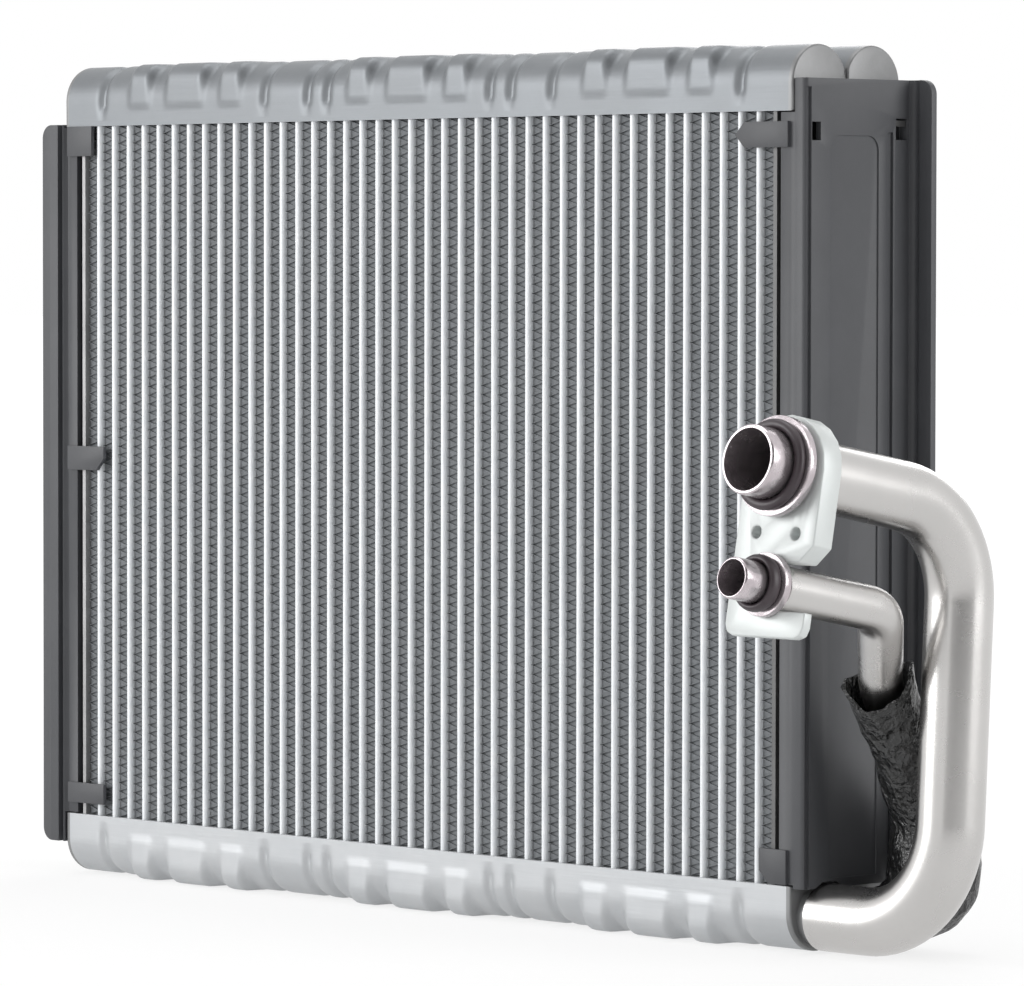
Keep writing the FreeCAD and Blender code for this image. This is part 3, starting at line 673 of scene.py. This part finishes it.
@dataclass
class StampedTank(TwinBarrel):
    """A header tank as one smooth skin: twin barrels with soft pads and ring grooves."""

    foot: float = 0.006
    wall: float = 0.0013
    module_pitch: float = 0.0983
    module_half: float = 0.025
    middle_pad_half: float = 0.008
    outer_pad_width: float = 0.0084
    pad_face: float = 0.011
    pad_top: float = 0.0108
    shoulder: float = 0.0052
    softness: float = 0.0022
    groove_depth: float = 0.0013
    groove_width: float = 0.0015
    middle_grooves: Pair = (0.0346, 0.0432)
    inner_groove_offset: float = 0.0383
    outer_groove_offset: float = 0.0359
    columns: int = 380
    wall_heights: Numbers = (0.0, 0.0022, 0.0034, 0.0046)
    pad_foot: Pair = (0.0034, 0.0046)
    groove_foot: Pair = (0.0012, 0.005)
    pad_inner_end: Pair = (math.radians(88), math.radians(104))
    smooth_under: float = 50

    def pads(self) -> list[Pair]:
        """Where the pads start and end along the tank."""
        spans = []
        for middle in (-self.module_pitch, 0.0, self.module_pitch):
            spans.append((middle - self.middle_pad_half, middle + self.middle_pad_half))
            spans.append((middle - self.module_half, middle - self.module_half + self.outer_pad_width))
            spans.append((middle + self.module_half - self.outer_pad_width, middle + self.module_half))
        return spans

    def grooves(self) -> list[float]:
        """Where the ring grooves lie along the tank."""
        module, inner, outer = self.module_pitch, self.inner_groove_offset, self.outer_groove_offset
        places = [side * x for side in (-1, 1) for x in self.middle_grooves]
        return places + [-module + outer, module - inner, -module - inner, module + outer]

    def ramp(self, value: float, low: float, high: float) -> float:
        """A soft step from 0 at low to 1 at high."""
        share = min(1.0, max(0.0, (value - low) / (high - low)))
        return share * share * (3 - 2 * share)

    def pad_share(self, x: float) -> float:
        """How far the section at X has the shape of a pad, from 0 to 1."""
        soft = self.softness
        shares = [self.ramp(x, x0 - soft, x0 + soft / 2) * (1 - self.ramp(x, x1 - soft / 2, x1 + soft))
                  for x0, x1 in self.pads()]
        return max(shares)

    def groove_share(self, x: float) -> float:
        """How deep the ring grooves are at X, from 0 to 1."""
        return max(math.exp(-((x - place) / self.groove_width) ** 2) for place in self.grooves())

    def pad_reach(self, turn: float) -> float:
        """Distance from a barrel's axis to a pad's surface at an angle over the barrel."""
        c, s = math.cos(turn), math.sin(turn)
        corner_y = self.pad_face - self.shoulder
        corner_z = self.pad_top - self.shoulder
        if s * self.pad_face <= corner_z * c:
            return self.pad_face / c
        if c * self.pad_top <= corner_y * s:
            return self.pad_top / s
        ahead = c * corner_y + s * corner_z
        return ahead + math.sqrt(ahead ** 2 - corner_y ** 2 - corner_z ** 2 + self.shoulder ** 2)

    def section(self, x: float) -> list[Pair]:
        """Points of the outline at X, from the front foot over both crowns to the rear foot."""
        pad = self.pad_share(x)
        groove = self.groove_share(x)
        half = []
        for height in self.wall_heights:
            out = pad * self.ramp(height, *self.pad_foot) * (self.pad_face - self.radius)
            cut = groove * self.ramp(height, *self.groove_foot) * self.groove_depth
            half.append((self.barrel_y + self.radius + out - cut, self.axis_z - self.foot + height))
        for i, turn in enumerate(self.crown_turns()):
            inward = 1 - self.ramp(turn, *self.pad_inner_end)
            out = pad * inward * (self.pad_reach(min(turn, math.pi / 2)) - self.radius)
            reach = self.radius + out - groove * self.groove_depth
            half.append(self.over_crown(turn, reach, i == self.crown_steps))
        return self.both_halves(half)

    def build(self) -> Piece:
        """Shapes a grid into the tank's skin and gives it the sheet's thickness.

        Returns:
            The tank.
        """
        rows = 2 * (len(self.wall_heights) + self.crown_steps)
        piece = make(self.name, bpy.ops.mesh.primitive_grid_add, x_subdivisions=self.columns,
                     y_subdivisions=rows, size=1)
        places = [self.half_length * (2 * i / self.columns - 1) for i in range(self.columns + 1)]
        sections = [self.section(x) for x in places]
        for vertex in piece.data.vertices:
            i = round((vertex.co.x + 0.5) * self.columns)
            y, z = sections[i][round((vertex.co.y + 0.5) * rows)]
            if self.upside_down:
                z = 2 * self.core_middle - z
            vertex.co = (places[i], y, z)
        edit_all()
        bpy.ops.mesh.normals_make_consistent(inside=False)
        if self.upside_down != (piece.data.polygons[0].normal.y > 0):
            bpy.ops.mesh.flip_normals()
        object_mode()
        apply_modifier(piece, "SOLIDIFY", thickness=self.wall, offset=-1.0)
        smooth(piece, self.smooth_under)
        return piece


@dataclass
class FlatTubes:
    """The flat tubes with their round noses."""

    count: int = 41
    pitch: float = 0.007
    thickness: float = 0.002
    depth: float = 0.04
    bottom: float = 0.0168
    length: float = 0.2127
    sides: int = 24

    def build(self, finishes: Finishes) -> None:
        """Stretches a circle to one tube's section, draws it up and repeats it across the core."""
        radius = self.thickness / 2
        start = -(self.count - 1) / 2 * self.pitch
        piece = make("flat_tubes_drawn", bpy.ops.mesh.primitive_circle_add, vertices=self.sides,
                     radius=radius, location=(start, 0, self.bottom), rotation=(0, 0, math.pi / self.sides),
                     fill_type="NGON")
        for vertex in piece.data.vertices:
            vertex.co.y += math.copysign(self.depth / 2 - radius, vertex.co.y)
        edit_all()
        bpy.ops.mesh.extrude_region_move(TRANSFORM_OT_translate={"value": (0, 0, self.length)})
        face_outwards()
        repeat(piece, self.count, (self.pitch, 0, 0))
        smooth(piece, SHARP_DEGREES)
        finishes.put(piece, "tube_aluminium")
        add_piece(piece, ("flat_tubes",))


@dataclass
class EndCap(TwinBarrel):
    """A pressed cap with the tank's outline and a rounded rim, and with necks at the ports."""

    side: int = 1
    sheet: float = 0.0016
    bottom: float = 0.2279
    rounding: float = 0.0014
    seam: Triple = (0.0006, 0.0009, 0.2325)
    necks: tuple[Triple, ...] = ((-0.0104, 0.0097, 0.0082), (0.0104, 0.0108, 0.0048))
    neck_wall: float = 0.0011
    neck_end: float = 0.16335
    neck_sides: int = 48

    def outline(self) -> list[Pair]:
        """Points round the cap, from its front foot over both crowns to the rear foot."""
        half = [(self.barrel_y + self.radius, self.bottom)]
        for i, turn in enumerate(self.crown_turns()):
            half.append(self.over_crown(turn, self.radius, i == self.crown_steps))
        return self.both_halves(half)

    def build(self) -> Piece:
        """Presses the cap from a flat outline.

        Returns:
            The cap.
        """
        points = self.outline()
        piece = make(self.name, bpy.ops.mesh.primitive_circle_add, vertices=len(points), radius=0.01,
                     fill_type="NGON")
        for vertex, (y, z) in zip(piece.data.vertices, points):
            vertex.co = (self.half_length, y, z)
        edit_all()
        bpy.ops.mesh.extrude_region_move(TRANSFORM_OT_translate={"value": (self.sheet, 0, 0)})
        face_outwards()
        half_width, depth, low = self.seam
        end = self.half_length + self.sheet
        cut_box(piece, (end - depth, end + self.sheet, -half_width, half_width, low,
                        self.axis_z + self.radius))
        self.round_rim(piece, end)
        if self.side > 0 and self.upside_down:
            self.add_necks(piece)
        activate(piece)
        edit_all()
        if self.side < 0:
            bpy.ops.transform.resize(value=(-1, 1, 1), center_override=(0, 0, 0))
        if self.upside_down:
            bpy.ops.transform.resize(value=(1, 1, -1), center_override=(0, 0, self.core_middle))
        face_outwards()
        smooth(piece, SHARP_DEGREES)
        return piece

    def round_rim(self, piece: Piece, end: float) -> None:
        """Rounds the outer face's edges."""
        select_edges(piece, lambda a, b: max(abs(a.x - end), abs(b.x - end)) < NEAR / 10)
        bpy.ops.mesh.bevel(offset=self.rounding, segments=3, affect="EDGES", clamp_overlap=True)
        object_mode()

    def add_necks(self, piece: Piece) -> None:
        """Adds the neck that holds each pipe, before the cap is turned over."""
        for y, z, radius in self.necks:
            reach = self.neck_end - self.half_length
            place = (self.half_length + reach / 2, y, 2 * self.core_middle - z)
            neck = make("neck", bpy.ops.mesh.primitive_cylinder_add, vertices=self.neck_sides, radius=radius,
                        depth=reach, location=place, rotation=(0, math.pi / 2, 0), end_fill_type="NOTHING")
            apply_modifier(neck, "SOLIDIFY", thickness=self.neck_wall, offset=-1.0)
            piece.select_set(True)
            bpy.context.view_layer.objects.active = piece
            bpy.ops.object.join()


@dataclass
class BentTube:
    """A round tube through corners, each with its own bend, drawn ring by ring."""

    name: str
    corners: list[Vector]
    bends: Numbers
    radius: float
    sides: int
    girths: tuple[Pair, ...] = ()
    ring_gap: float = 0.002
    turn_step: float = 5.0
    least_steps: int = 6
    least_rings: int = 3
    travelled: float = 0.0
    girth: float = 0.0

    def build(self) -> Piece:
        """Draws the tube's outer skin from a circle by extruding and spinning.

        Returns:
            The tube.
        """
        ahead = (self.corners[1] - self.corners[0]).normalized()
        piece = make_ring(self.name, self.sides, self.radius, self.corners[0], ahead)
        edit_all()
        self.girth = self.radius
        self.swell(self.corners[0])
        place = self.corners[0]
        for before, corner, after, bend in zip(self.corners, self.corners[1:], self.corners[2:], self.bends):
            back = (corner - before).normalized()
            front = (after - corner).normalized()
            angle = back.angle(front)
            tangent = bend * math.tan(angle / 2)
            self.run(place, corner - back * tangent)
            self.bend(corner - back * tangent, back, back.cross(front).normalized(), angle, bend)
            place = corner + front * tangent
        self.run(place, self.corners[-1])
        face_outwards()
        return piece

    def run(self, start: Vector, end: Vector) -> None:
        """Extrudes the last ring along a straight stretch."""
        count = max(1, round((end - start).length / self.ring_gap)) if self.girths else 1
        step = (end - start) / count
        for i in range(count):
            bpy.ops.mesh.extrude_edges_move(TRANSFORM_OT_translate={"value": step})
            self.travelled += step.length
            self.swell(start + step * (i + 1))

    def bend(self, start: Vector, ahead: Vector, axis: Vector, angle: float, radius: float) -> None:
        """Spins the last ring round a bend."""
        centre = start + axis.cross(ahead) * radius
        if not self.girths:
            steps = max(self.least_steps, math.ceil(angle / math.radians(self.turn_step)))
            bpy.ops.mesh.spin(steps=steps, angle=-angle, center=centre, axis=axis)
            return
        count = max(self.least_rings, round(angle * radius / self.ring_gap))
        for i in range(count):
            bpy.ops.mesh.spin(steps=1, angle=-angle / count, center=centre, axis=axis)
            self.travelled += angle * radius / count
            self.swell(centre + Matrix.Rotation(angle * (i + 1) / count, 3, axis) @ (start - centre))

    def swell(self, centre: Vector) -> None:
        """Scales the last ring to the tube's girth at this point of its length."""
        if not self.girths:
            return
        wanted = self.girths[-1][1]
        for (s0, r0), (s1, r1) in zip(self.girths, self.girths[1:]):
            if s0 <= self.travelled <= s1:
                wanted = r0 + (r1 - r0) * (self.travelled - s0) / (s1 - s0)
                break
        ratio = wanted / self.girth
        bpy.ops.transform.resize(value=(ratio, ratio, ratio), center_override=centre)
        self.girth = wanted


@dataclass(frozen=True)
class Port:
    """One of the two ports: its sizes, and distances measured back from its opening."""

    word: str
    drop: float
    radius: float
    bore: float
    collar_radius: float
    collar_start: float
    seat_start: float
    seal_middle: float
    seal_radius: float
    seal_half: Pair


SUCTION = Port("suction", 0.0, 0.00925, 0.0082, 0.0132, 0.0100, 0.00706, 0.00853, 0.01057, (0.00135, 0.00145))
LIQUID = Port("liquid", 0.0308, 0.0055, 0.0048, 0.0084, 0.0116, 0.00756, 0.00958, 0.00647, (0.0019, 0.0011))


@dataclass
class Connector:
    """The free ends of the pipes: spigots, seals and clamp plate, in the tilted connector's frame."""

    x: float = 0.2015
    y: float = -0.0863
    z: float = 0.1366
    tilt: float = math.radians(10.6)
    spigot_length: float = 0.0165
    collar_width: float = 0.0022
    seat: float = 0.00025
    rim: float = 0.0004
    spigot_sides: int = 72
    seal_section_sides: int = 20
    seal_smooth_under: float = 60
    edge_round: float = 0.00012
    plate_round: float = 0.0004
    smooth_under: float = 35

    def axis(self) -> Vector:
        """Direction from the openings back into the pipes."""
        return Vector((0, math.cos(self.tilt), -math.sin(self.tilt)))

    def opening(self, port: Port) -> Vector:
        """Middle of one port's opening."""
        down = Vector((0, -math.sin(self.tilt), -math.cos(self.tilt)))
        return Vector((self.x, self.y, self.z)) + down * port.drop

    def turned(self, name: str, at: Vector, profile: list[Pair]) -> Piece:
        """Turns a closed profile round the port's axis.

        Args:
            name: the piece's name.
            at: the opening's middle.
            profile: pairs of radius and distance behind the opening.

        Returns:
            The turned piece.
        """
        axis = self.axis()
        radius, reach = profile[0]
        piece = make_ring(name, self.spigot_sides, radius, at + axis * reach, axis)
        edit_all()
        for wider, further in profile[1:] + profile[:1]:
            bpy.ops.mesh.extrude_edges_move(TRANSFORM_OT_translate={"value": axis * (further - reach)})
            ratio = wider / radius
            bpy.ops.transform.resize(value=(ratio, ratio, ratio), center_override=at + axis * further)
            radius, reach = wider, further
        bpy.ops.mesh.select_all(action="SELECT")
        bpy.ops.mesh.remove_doubles(threshold=NEAR)
        face_outwards()
        apply_modifier(piece, "BEVEL", width=self.edge_round, segments=2, limit_method="ANGLE",
                       angle_limit=math.radians(self.smooth_under))
        smooth(piece, self.smooth_under)
        return piece

    def spigot(self, port: Port) -> Piece:
        """One spigot with its collar and the seat of its seal."""
        radius, bore = port.radius, port.bore
        inner = radius - self.seat
        collar_end = port.collar_start + self.collar_width
        profile = [(bore, 0.0), (radius - self.rim, 0.0), (radius, self.rim), (radius, port.seat_start),
                   (inner, port.seat_start), (inner, port.collar_start),
                   (port.collar_radius, port.collar_start), (port.collar_radius, collar_end),
                   (radius, collar_end), (radius, self.spigot_length), (bore, self.spigot_length)]
        return self.turned(f"{port.word}_spigot_turned", self.opening(port), profile)

    def seal(self, port: Port) -> Piece:
        """One sealing ring, oval in section."""
        clear_selection()
        axis = self.axis()
        along, across = port.seal_half
        bpy.ops.mesh.primitive_torus_add(location=(0, 0, 0), major_radius=port.seal_radius,
                                         minor_radius=across, major_segments=self.spigot_sides,
                                         minor_segments=self.seal_section_sides)
        piece = bpy.context.object
        edit_all()
        bpy.ops.transform.resize(value=(1, 1, along / across), center_override=(0, 0, 0))
        object_mode()
        piece.rotation_mode = "QUATERNION"
        piece.rotation_quaternion = axis.to_track_quat("Z", "Y")
        piece.location = self.opening(port) + axis * port.seal_middle
        settle(piece, f"{port.word}_seal_smooth")
        smooth(piece, self.seal_smooth_under)
        return piece

    def build(self, finishes: Finishes) -> None:
        """Makes the spigots, their seals and the clamp plate's rounded copy."""
        ports = (SUCTION, LIQUID)
        parts = [(self.spigot(port), Slot.SPIGOT, "spigot_aluminium", f"{port.word}_spigot")
                 for port in ports]
        parts += [(self.seal(port), Slot.RUBBER, "seal_rubber_plum", f"{port.word}_seal_ring")
                  for port in ports]
        plate = refined_copy("connector_plate", "clamp_plate", self.smooth_under, self.plate_round)
        parts.append((plate, Slot.PLATE, "plate_aluminium", "connector_plate"))
        for piece, slot, finish, node in parts:
            finishes.put(piece, finish)
            add_piece(piece, (node,))


@dataclass
class Pipes:
    """The suction and liquid pipes, and the tape round the liquid pipe."""

    connector: Connector
    port_x: float = 0.15735
    barrel_y: float = 0.0104
    suction_z: float = 0.0097
    liquid_z: float = 0.0108
    liquid_away: float = 0.17815
    suction_bends: Numbers = (0.028, 0.028)
    liquid_bends: Numbers = (0.014, 0.020, 0.022, 0.015)
    suction_lean: float = 0.006
    liquid_forward: float = 0.0464
    liquid_slant: Triple = (0.005, -0.027, 0.063)
    liquid_rise: float = 0.024
    suction_section: Pair = (0.00925, 0.00105)
    liquid_section: Pair = (0.006, 0.0012)
    sides: int = 64
    tape_start: float = 0.16265
    tape_reach: float = 1.02
    tape_sheet: float = 0.0009
    tape_girths: tuple[Pair, ...] = (
        (0.0, 0.0088), (0.006, 0.0098), (0.014, 0.0122), (0.024, 0.0130), (0.032, 0.0122), (0.042, 0.0102),
        (0.058, 0.0090), (0.072, 0.0090), (0.080, 0.0098), (0.086, 0.0108))
    tape_creases: tuple[tuple[str, str, float, float], ...] = (
        ("tape_folds", "CLOUDS", 0.012, 0.0016), ("tape_wrinkles", "VORONOI", 0.006, 0.0007))
    tape_smooth_under: float = 30
    pressed_from: float = 0.0195
    pressed_share: float = 0.45
    tear_across: Triple = (0.69, 0.72, 0.0)
    tear_reach: float = 0.012
    tear_sides: float = 0.0030
    tear_front: float = 0.0020
    tear_ragged: float = 0.0009
    tear_waves: tuple[Triple, ...] = ((0.4, 5, 0.6), (0.3, 11, 0.0), (0.2, 23, 1.0))

    def suction_corners(self) -> list[Vector]:
        """Corners of the suction pipe from the lower header to its spigot."""
        link = self.connector
        axis = link.axis()
        start = link.opening(SUCTION)
        reach = (self.suction_lean - self.barrel_y - link.y) / axis.y
        return [Vector((self.port_x, -self.barrel_y, self.suction_z)),
                Vector((link.x, -self.barrel_y, self.suction_z)),
                start + axis * reach, start + axis * link.spigot_length]

    def liquid_corners(self) -> list[Vector]:
        """Corners of the liquid pipe from the lower header to its spigot."""
        link = self.connector
        axis = link.axis()
        start = link.opening(LIQUID)
        away = Vector((self.liquid_away, self.barrel_y, self.liquid_z))
        reach = (self.barrel_y - self.liquid_forward - start.y) / axis.y
        return [Vector((self.port_x, self.barrel_y, self.liquid_z)), away,
                away + Vector((0, 0, self.liquid_rise)), away + Vector(self.liquid_slant),
                start + axis * reach, start + axis * link.spigot_length]

    def build(self, finishes: Finishes) -> None:
        """Draws both pipes and the tape."""
        runs = [("suction_pipe", self.suction_corners(), self.suction_bends, self.suction_section),
                ("liquid_pipe", self.liquid_corners(), self.liquid_bends, self.liquid_section)]
        for node, corners, bends, (radius, wall) in runs:
            piece = BentTube(f"{node}_drawn", corners, bends, radius, self.sides).build()
            apply_modifier(piece, "SOLIDIFY", thickness=wall, offset=-1.0)
            smooth(piece, SHARP_DEGREES)
            finishes.put(piece, "pipe_aluminium")
            add_piece(piece, (node,))
        self.tape(finishes)

    def tape(self, finishes: Finishes) -> None:
        """Draws the tape ring by ring with its uneven girth and folds its creases."""
        corners = self.liquid_corners()
        start = Vector((self.tape_start, self.barrel_y, self.liquid_z))
        leg = corners[3] - corners[2]
        points = [start, corners[1], corners[2], corners[2] + leg * self.tape_reach]
        girths = self.tape_girths
        piece = BentTube("tape_wrap", points, self.liquid_bends[:2], girths[0][1], self.sides, girths).build()
        self.tear(piece, points[-1], leg.normalized())
        apply_modifier(piece, "SUBSURF", levels=1, render_levels=1)
        for name, kind, size, depth in self.tape_creases:
            texture = bpy.data.textures.new(name, kind)
            texture.noise_scale = size
            apply_modifier(piece, "DISPLACE", texture=texture, texture_coords="LOCAL", strength=depth,
                           mid_level=0.5)
        apply_modifier(piece, "SOLIDIFY", thickness=self.tape_sheet, offset=-1.0)
        for vertex in piece.data.vertices:
            behind = vertex.co.y - self.pressed_from
            if behind > 0.0:
                vertex.co.y = self.pressed_from + self.pressed_share * behind
        smooth(piece, self.tape_smooth_under)
        finishes.put(piece, "crinkled_tape")
        add_piece(piece, ("liquid_pipe_wrap",))

    def tear(self, piece: Piece, mouth: Vector, ahead: Vector) -> None:
        """Draws out the tape's mouth to torn flaps at its sides and lowers it in front.

        Args:
            piece: the tape.
            mouth: middle of its mouth.
            ahead: direction of the pipe there.
        """
        across = Vector(self.tear_across)
        across = (across - ahead * across.dot(ahead)).normalized()
        facing = across.cross(ahead).normalized()
        for vertex in piece.data.vertices:
            offset = vertex.co - mouth
            depth = offset.dot(ahead)
            if depth < -self.tear_reach:
                continue
            turn = math.atan2(offset.dot(facing), offset.dot(across))
            near = (depth + self.tear_reach) / self.tear_reach
            ragged = sum(share * math.sin(waves * turn + shift) for share, waves, shift in self.tear_waves)
            pull = self.tear_sides * abs(math.cos(turn)) ** 3 - self.tear_front * abs(math.sin(turn)) ** 2
            vertex.co += ahead * ((pull + self.tear_ragged * ragged) * near * near)


@dataclass
class Shells:
    """The covers as refined copies, and the tanks and caps as smooth skins."""

    bevel: float = 0.0003
    smooth_under: float = 35
    right_front_line: Numbers = (0.15775, 0.16, -0.0199, -0.0183, 0.0168, 0.2343)
    right_rear_line: Numbers = (0.15775, 0.16, 0.0116, 0.0138, 0.0168, 0.2224)
    left_flange_line: Numbers = (-0.1568, -0.1548, -0.023, -0.0203, 0.0086, 0.2295)
    left_flange_face: Numbers = (-0.1606, -0.1569, -0.022, 0.0012)

    def build(self, finishes: Finishes) -> None:
        """Makes and dresses them."""
        rows = [("right_cover", (self.right_front_line, self.right_rear_line), ()),
                ("left_cover", (self.left_flange_line,), self.left_flange_face)]
        for node, cuts, levelled in rows:
            piece = refined_copy(node, f"{node}_moulded", self.smooth_under, self.bevel, cuts, levelled)
            finishes.put(piece, "cover_plastic_grey")
            add_piece(piece, (node,))
        for level, upside_down in (("upper", False), ("lower", True)):
            piece = StampedTank(f"{level}_tank_stamped", upside_down).build()
            finishes.put(piece, f"{level}_header_aluminium")
            add_piece(piece, (f"{level}_tank",))
            for side, word in ((-1, "left"), (1, "right")):
                cap = EndCap(f"{level}_{word}_cap_pressed", upside_down, side=side).build()
                finishes.put(cap, "cap_aluminium")
                add_piece(cap, (f"{level}_{word}_end_cap",))


CAD_FINISHES = {
    "upper_header_aluminium": ("upper_tank", "upper_header_plate"),
    "lower_header_aluminium": ("lower_tank", "lower_header_plate"),
    "tube_aluminium": ("flat_tubes",),
    "fin_aluminium_painted_shade": ("fin_strips",),
    # painted light and shade: lit and shaded copies of the same plate aluminium
    "side_plate_painted_lit": ("left_side_plate",),
    "side_plate_painted_shade": ("right_side_plate", "front_baffle", "rear_baffle"),
    "cap_aluminium": ("upper_right_end_cap", "upper_left_end_cap",
                      "lower_left_end_cap", "lower_right_end_cap"),
    "pipe_aluminium": ("suction_pipe", "liquid_pipe"),
    "spigot_aluminium": ("suction_spigot", "liquid_spigot"),
    "seal_rubber_plum": ("suction_seal_ring", "liquid_seal_ring"),
    "plate_aluminium": ("connector_plate",),
    "crinkled_tape": ("liquid_pipe_wrap",),
    "cover_plastic_grey": ("right_cover", "left_cover"),
}


@dataclass
class Studio:
    """The camera at the photograph's angle, a pale floor and soft lamps."""

    place: Triple = (1.3274, -1.2315, 0.1881)
    azimuth: float = 46.667
    pitch: float = 2.152
    roll: float = 0.0724
    lens: float = 219.76
    sensor: float = 36.0
    aim: Triple = (0.03, 0.0, 0.12)
    clip_end: float = 20.0
    paper_size: float = 30.0
    paper_drop: float = 0.0003
    paper_glow: float = 1.08
    paper_reach: Pair = (0.35, 1.0)
    paper_near: float = 0.72
    ambient: float = 0.42
    card_place: Triple = (2.6, 0.9, 1.1)
    card_size: Pair = (4.2, 5.2)
    lamps: tuple[tuple, ...] = (
        ("key_lamp", (-0.95, -1.35, 0.5), 0.9, 14.5), ("fill_lamp", (0.8, -1.6, 0.7), 0.9, 2.0),
        ("side_lamp", (1.55, 0.6, 0.6), 0.9, 11.0), ("top_lamp", (-0.2, 0.1, 1.5), 0.9, 6.0),
        ("back_lamp", (-0.8, 1.4, 0.9), 1.0, 7.0))

    def camera(self) -> None:
        """Puts the camera where the photograph was taken from."""
        turn = math.radians(self.azimuth)
        dip = math.radians(self.pitch)
        forward = Vector((-math.sin(turn) * math.cos(dip), math.cos(turn) * math.cos(dip), -math.sin(dip)))
        right = Vector((math.cos(turn), math.sin(turn), 0.0))
        up = right.cross(forward)
        lean = math.radians(self.roll)
        c, s = math.cos(lean), math.sin(lean)
        right, up = right * c + up * s, up * c - right * s
        data = bpy.data.cameras.new("view_of_photograph")
        data.lens = self.lens
        data.sensor_width = self.sensor
        data.clip_end = self.clip_end
        camera = place_new("view_of_photograph", data)
        rotation = Matrix((right, up, -forward)).transposed().to_4x4()
        camera.matrix_world = Matrix.Translation(self.place) @ rotation
        bpy.context.scene.camera = camera

    def lamp(self, name: str, place: tuple, size: float, watts: float) -> None:
        """Adds a square soft lamp that looks at the middle of the core.

        Args:
            name: the lamp's name.
            place: where it hangs.
            size: its side.
            watts: its power.
        """
        data = bpy.data.lights.new(name, "AREA")
        data.size = size
        data.energy = watts
        lamp = place_new(name, data)
        lamp.location = place
        lamp.rotation_euler = (Vector(self.aim) - Vector(place)).to_track_quat("-Z", "Y").to_euler()

    def floor(self) -> None:
        """Lays the floor, white to the camera apart from the object's shadow."""
        floor = make("studio_floor", bpy.ops.mesh.primitive_plane_add, size=self.paper_size,
                     location=(0, 0, -self.paper_drop))
        material, tree, shader = new_material("studio_paper")
        set_inputs(shader, Base_Color=grey(0.9), Roughness=0.95, Specular_IOR_Level=0.0)
        glow = add_node(tree, "ShaderNodeEmission")
        set_inputs(glow, Color=WHITE, Strength=self.paper_glow)
        self.blend(tree, self.paper_share(tree), shader, glow, "Material Output")
        floor.data.materials.append(material)

    def paper_share(self, tree: Tree) -> Socket:
        """How much of the floor is plain white: less near the object, where its shadow lies."""
        place = add_node(tree, "ShaderNodeTexCoord")
        length = add_node(tree, "ShaderNodeVectorMath", operation="LENGTH")
        feed(length.inputs[0], place.outputs["Object"])
        share = add_node(tree, "ShaderNodeMapRange", clamp=True, interpolation_type="SMOOTHSTEP")
        near, far = self.paper_reach
        set_inputs(share, Value=length.outputs["Value"], From_Min=near, From_Max=far, To_Min=self.paper_near,
                   To_Max=1.0)
        return share.outputs["Result"]

    def blend(self, tree: Tree, share, light: Node, seen: Node, output: str) -> None:
        """Shows one shader to camera, glossy and transmission rays and another one to the rest.

        Args:
            tree: the tree of both.
            share: how much of the shown one those rays get, a socket or a number.
            light: the shader for the other rays.
            seen: the shader that is shown.
            output: name of the tree's output node.
        """
        rays = add_node(tree, "ShaderNodeLightPath").outputs
        factor = maths(tree, "MAXIMUM", rays["Is Camera Ray"], rays["Is Glossy Ray"])
        factor = maths(tree, "MAXIMUM", factor, rays["Is Transmission Ray"])
        mix = add_node(tree, "ShaderNodeMixShader")
        for target, value in zip(mix.inputs, (maths(tree, "MULTIPLY", factor, share),
                                              light.outputs[0], seen.outputs[0])):
            feed(target, value)
        set_inputs(tree.nodes[output], Surface=mix.outputs[0])

    def world(self) -> None:
        """White surroundings to the camera and in reflections, softer as light."""
        world = bpy.data.worlds.new("studio_air")
        world.use_nodes = True
        tree = world.node_tree
        air = tree.nodes["Background"]
        set_inputs(air, Color=WHITE, Strength=self.ambient)
        white = add_node(tree, "ShaderNodeBackground")
        set_inputs(white, Color=WHITE, Strength=1.0)
        self.blend(tree, 1.0, air, white, "World Output")
        bpy.context.scene.world = world

    def flag(self) -> None:
        """Hangs a dark card behind the camera, which only reflections show."""
        clear_selection()
        toward = Vector((self.place[0], self.place[1], 0.0)).normalized()
        aside = Vector((-toward.y, toward.x, 0.0))
        back, shift, height = self.card_place
        place = toward * back + aside * shift + Vector((0, 0, height))
        turn = toward.to_track_quat("Z", "Y").to_euler()
        bpy.ops.mesh.primitive_plane_add(size=1, location=place, rotation=turn)
        card = bpy.context.object
        card.scale = (*self.card_size, 1)
        settle(card, "dark_card")
        material, _, shader = new_material("card_felt")
        set_inputs(shader, Base_Color=(0.1, 0.1, 0.098, 1), Roughness=0.95)
        card.data.materials.append(material)
        for ray in ("camera", "diffuse", "shadow", "transmission", "volume_scatter"):
            setattr(card, f"visible_{ray}", False)

    def build(self) -> None:
        """Sets up camera, lamps, floor and surroundings."""
        bpy.context.scene.view_settings.view_transform = "Standard"
        self.camera()
        self.floor()
        self.flag()
        self.world()
        for name, place, size, watts in self.lamps:
            self.lamp(name, place, size, watts)


def main() -> None:
    """Builds the studio, the finishes and every piece."""
    logging.basicConfig(level=logging.INFO, format="%(name)s: %(message)s")
    Studio().build()
    finishes = Finishes(Groups())
    finishes.build()
    for finish, nodes in CAD_FINISHES.items():
        for node in nodes:
            finishes.put(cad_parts[node], finish)
    connector = Connector()
    FoldedFins().build(finishes)
    FlatTubes().build(finishes)
    Shells().build(finishes)
    connector.build(finishes)
    Pipes(connector).build(finishes)
    clear_selection()


if __name__ == "__main__":
    main()
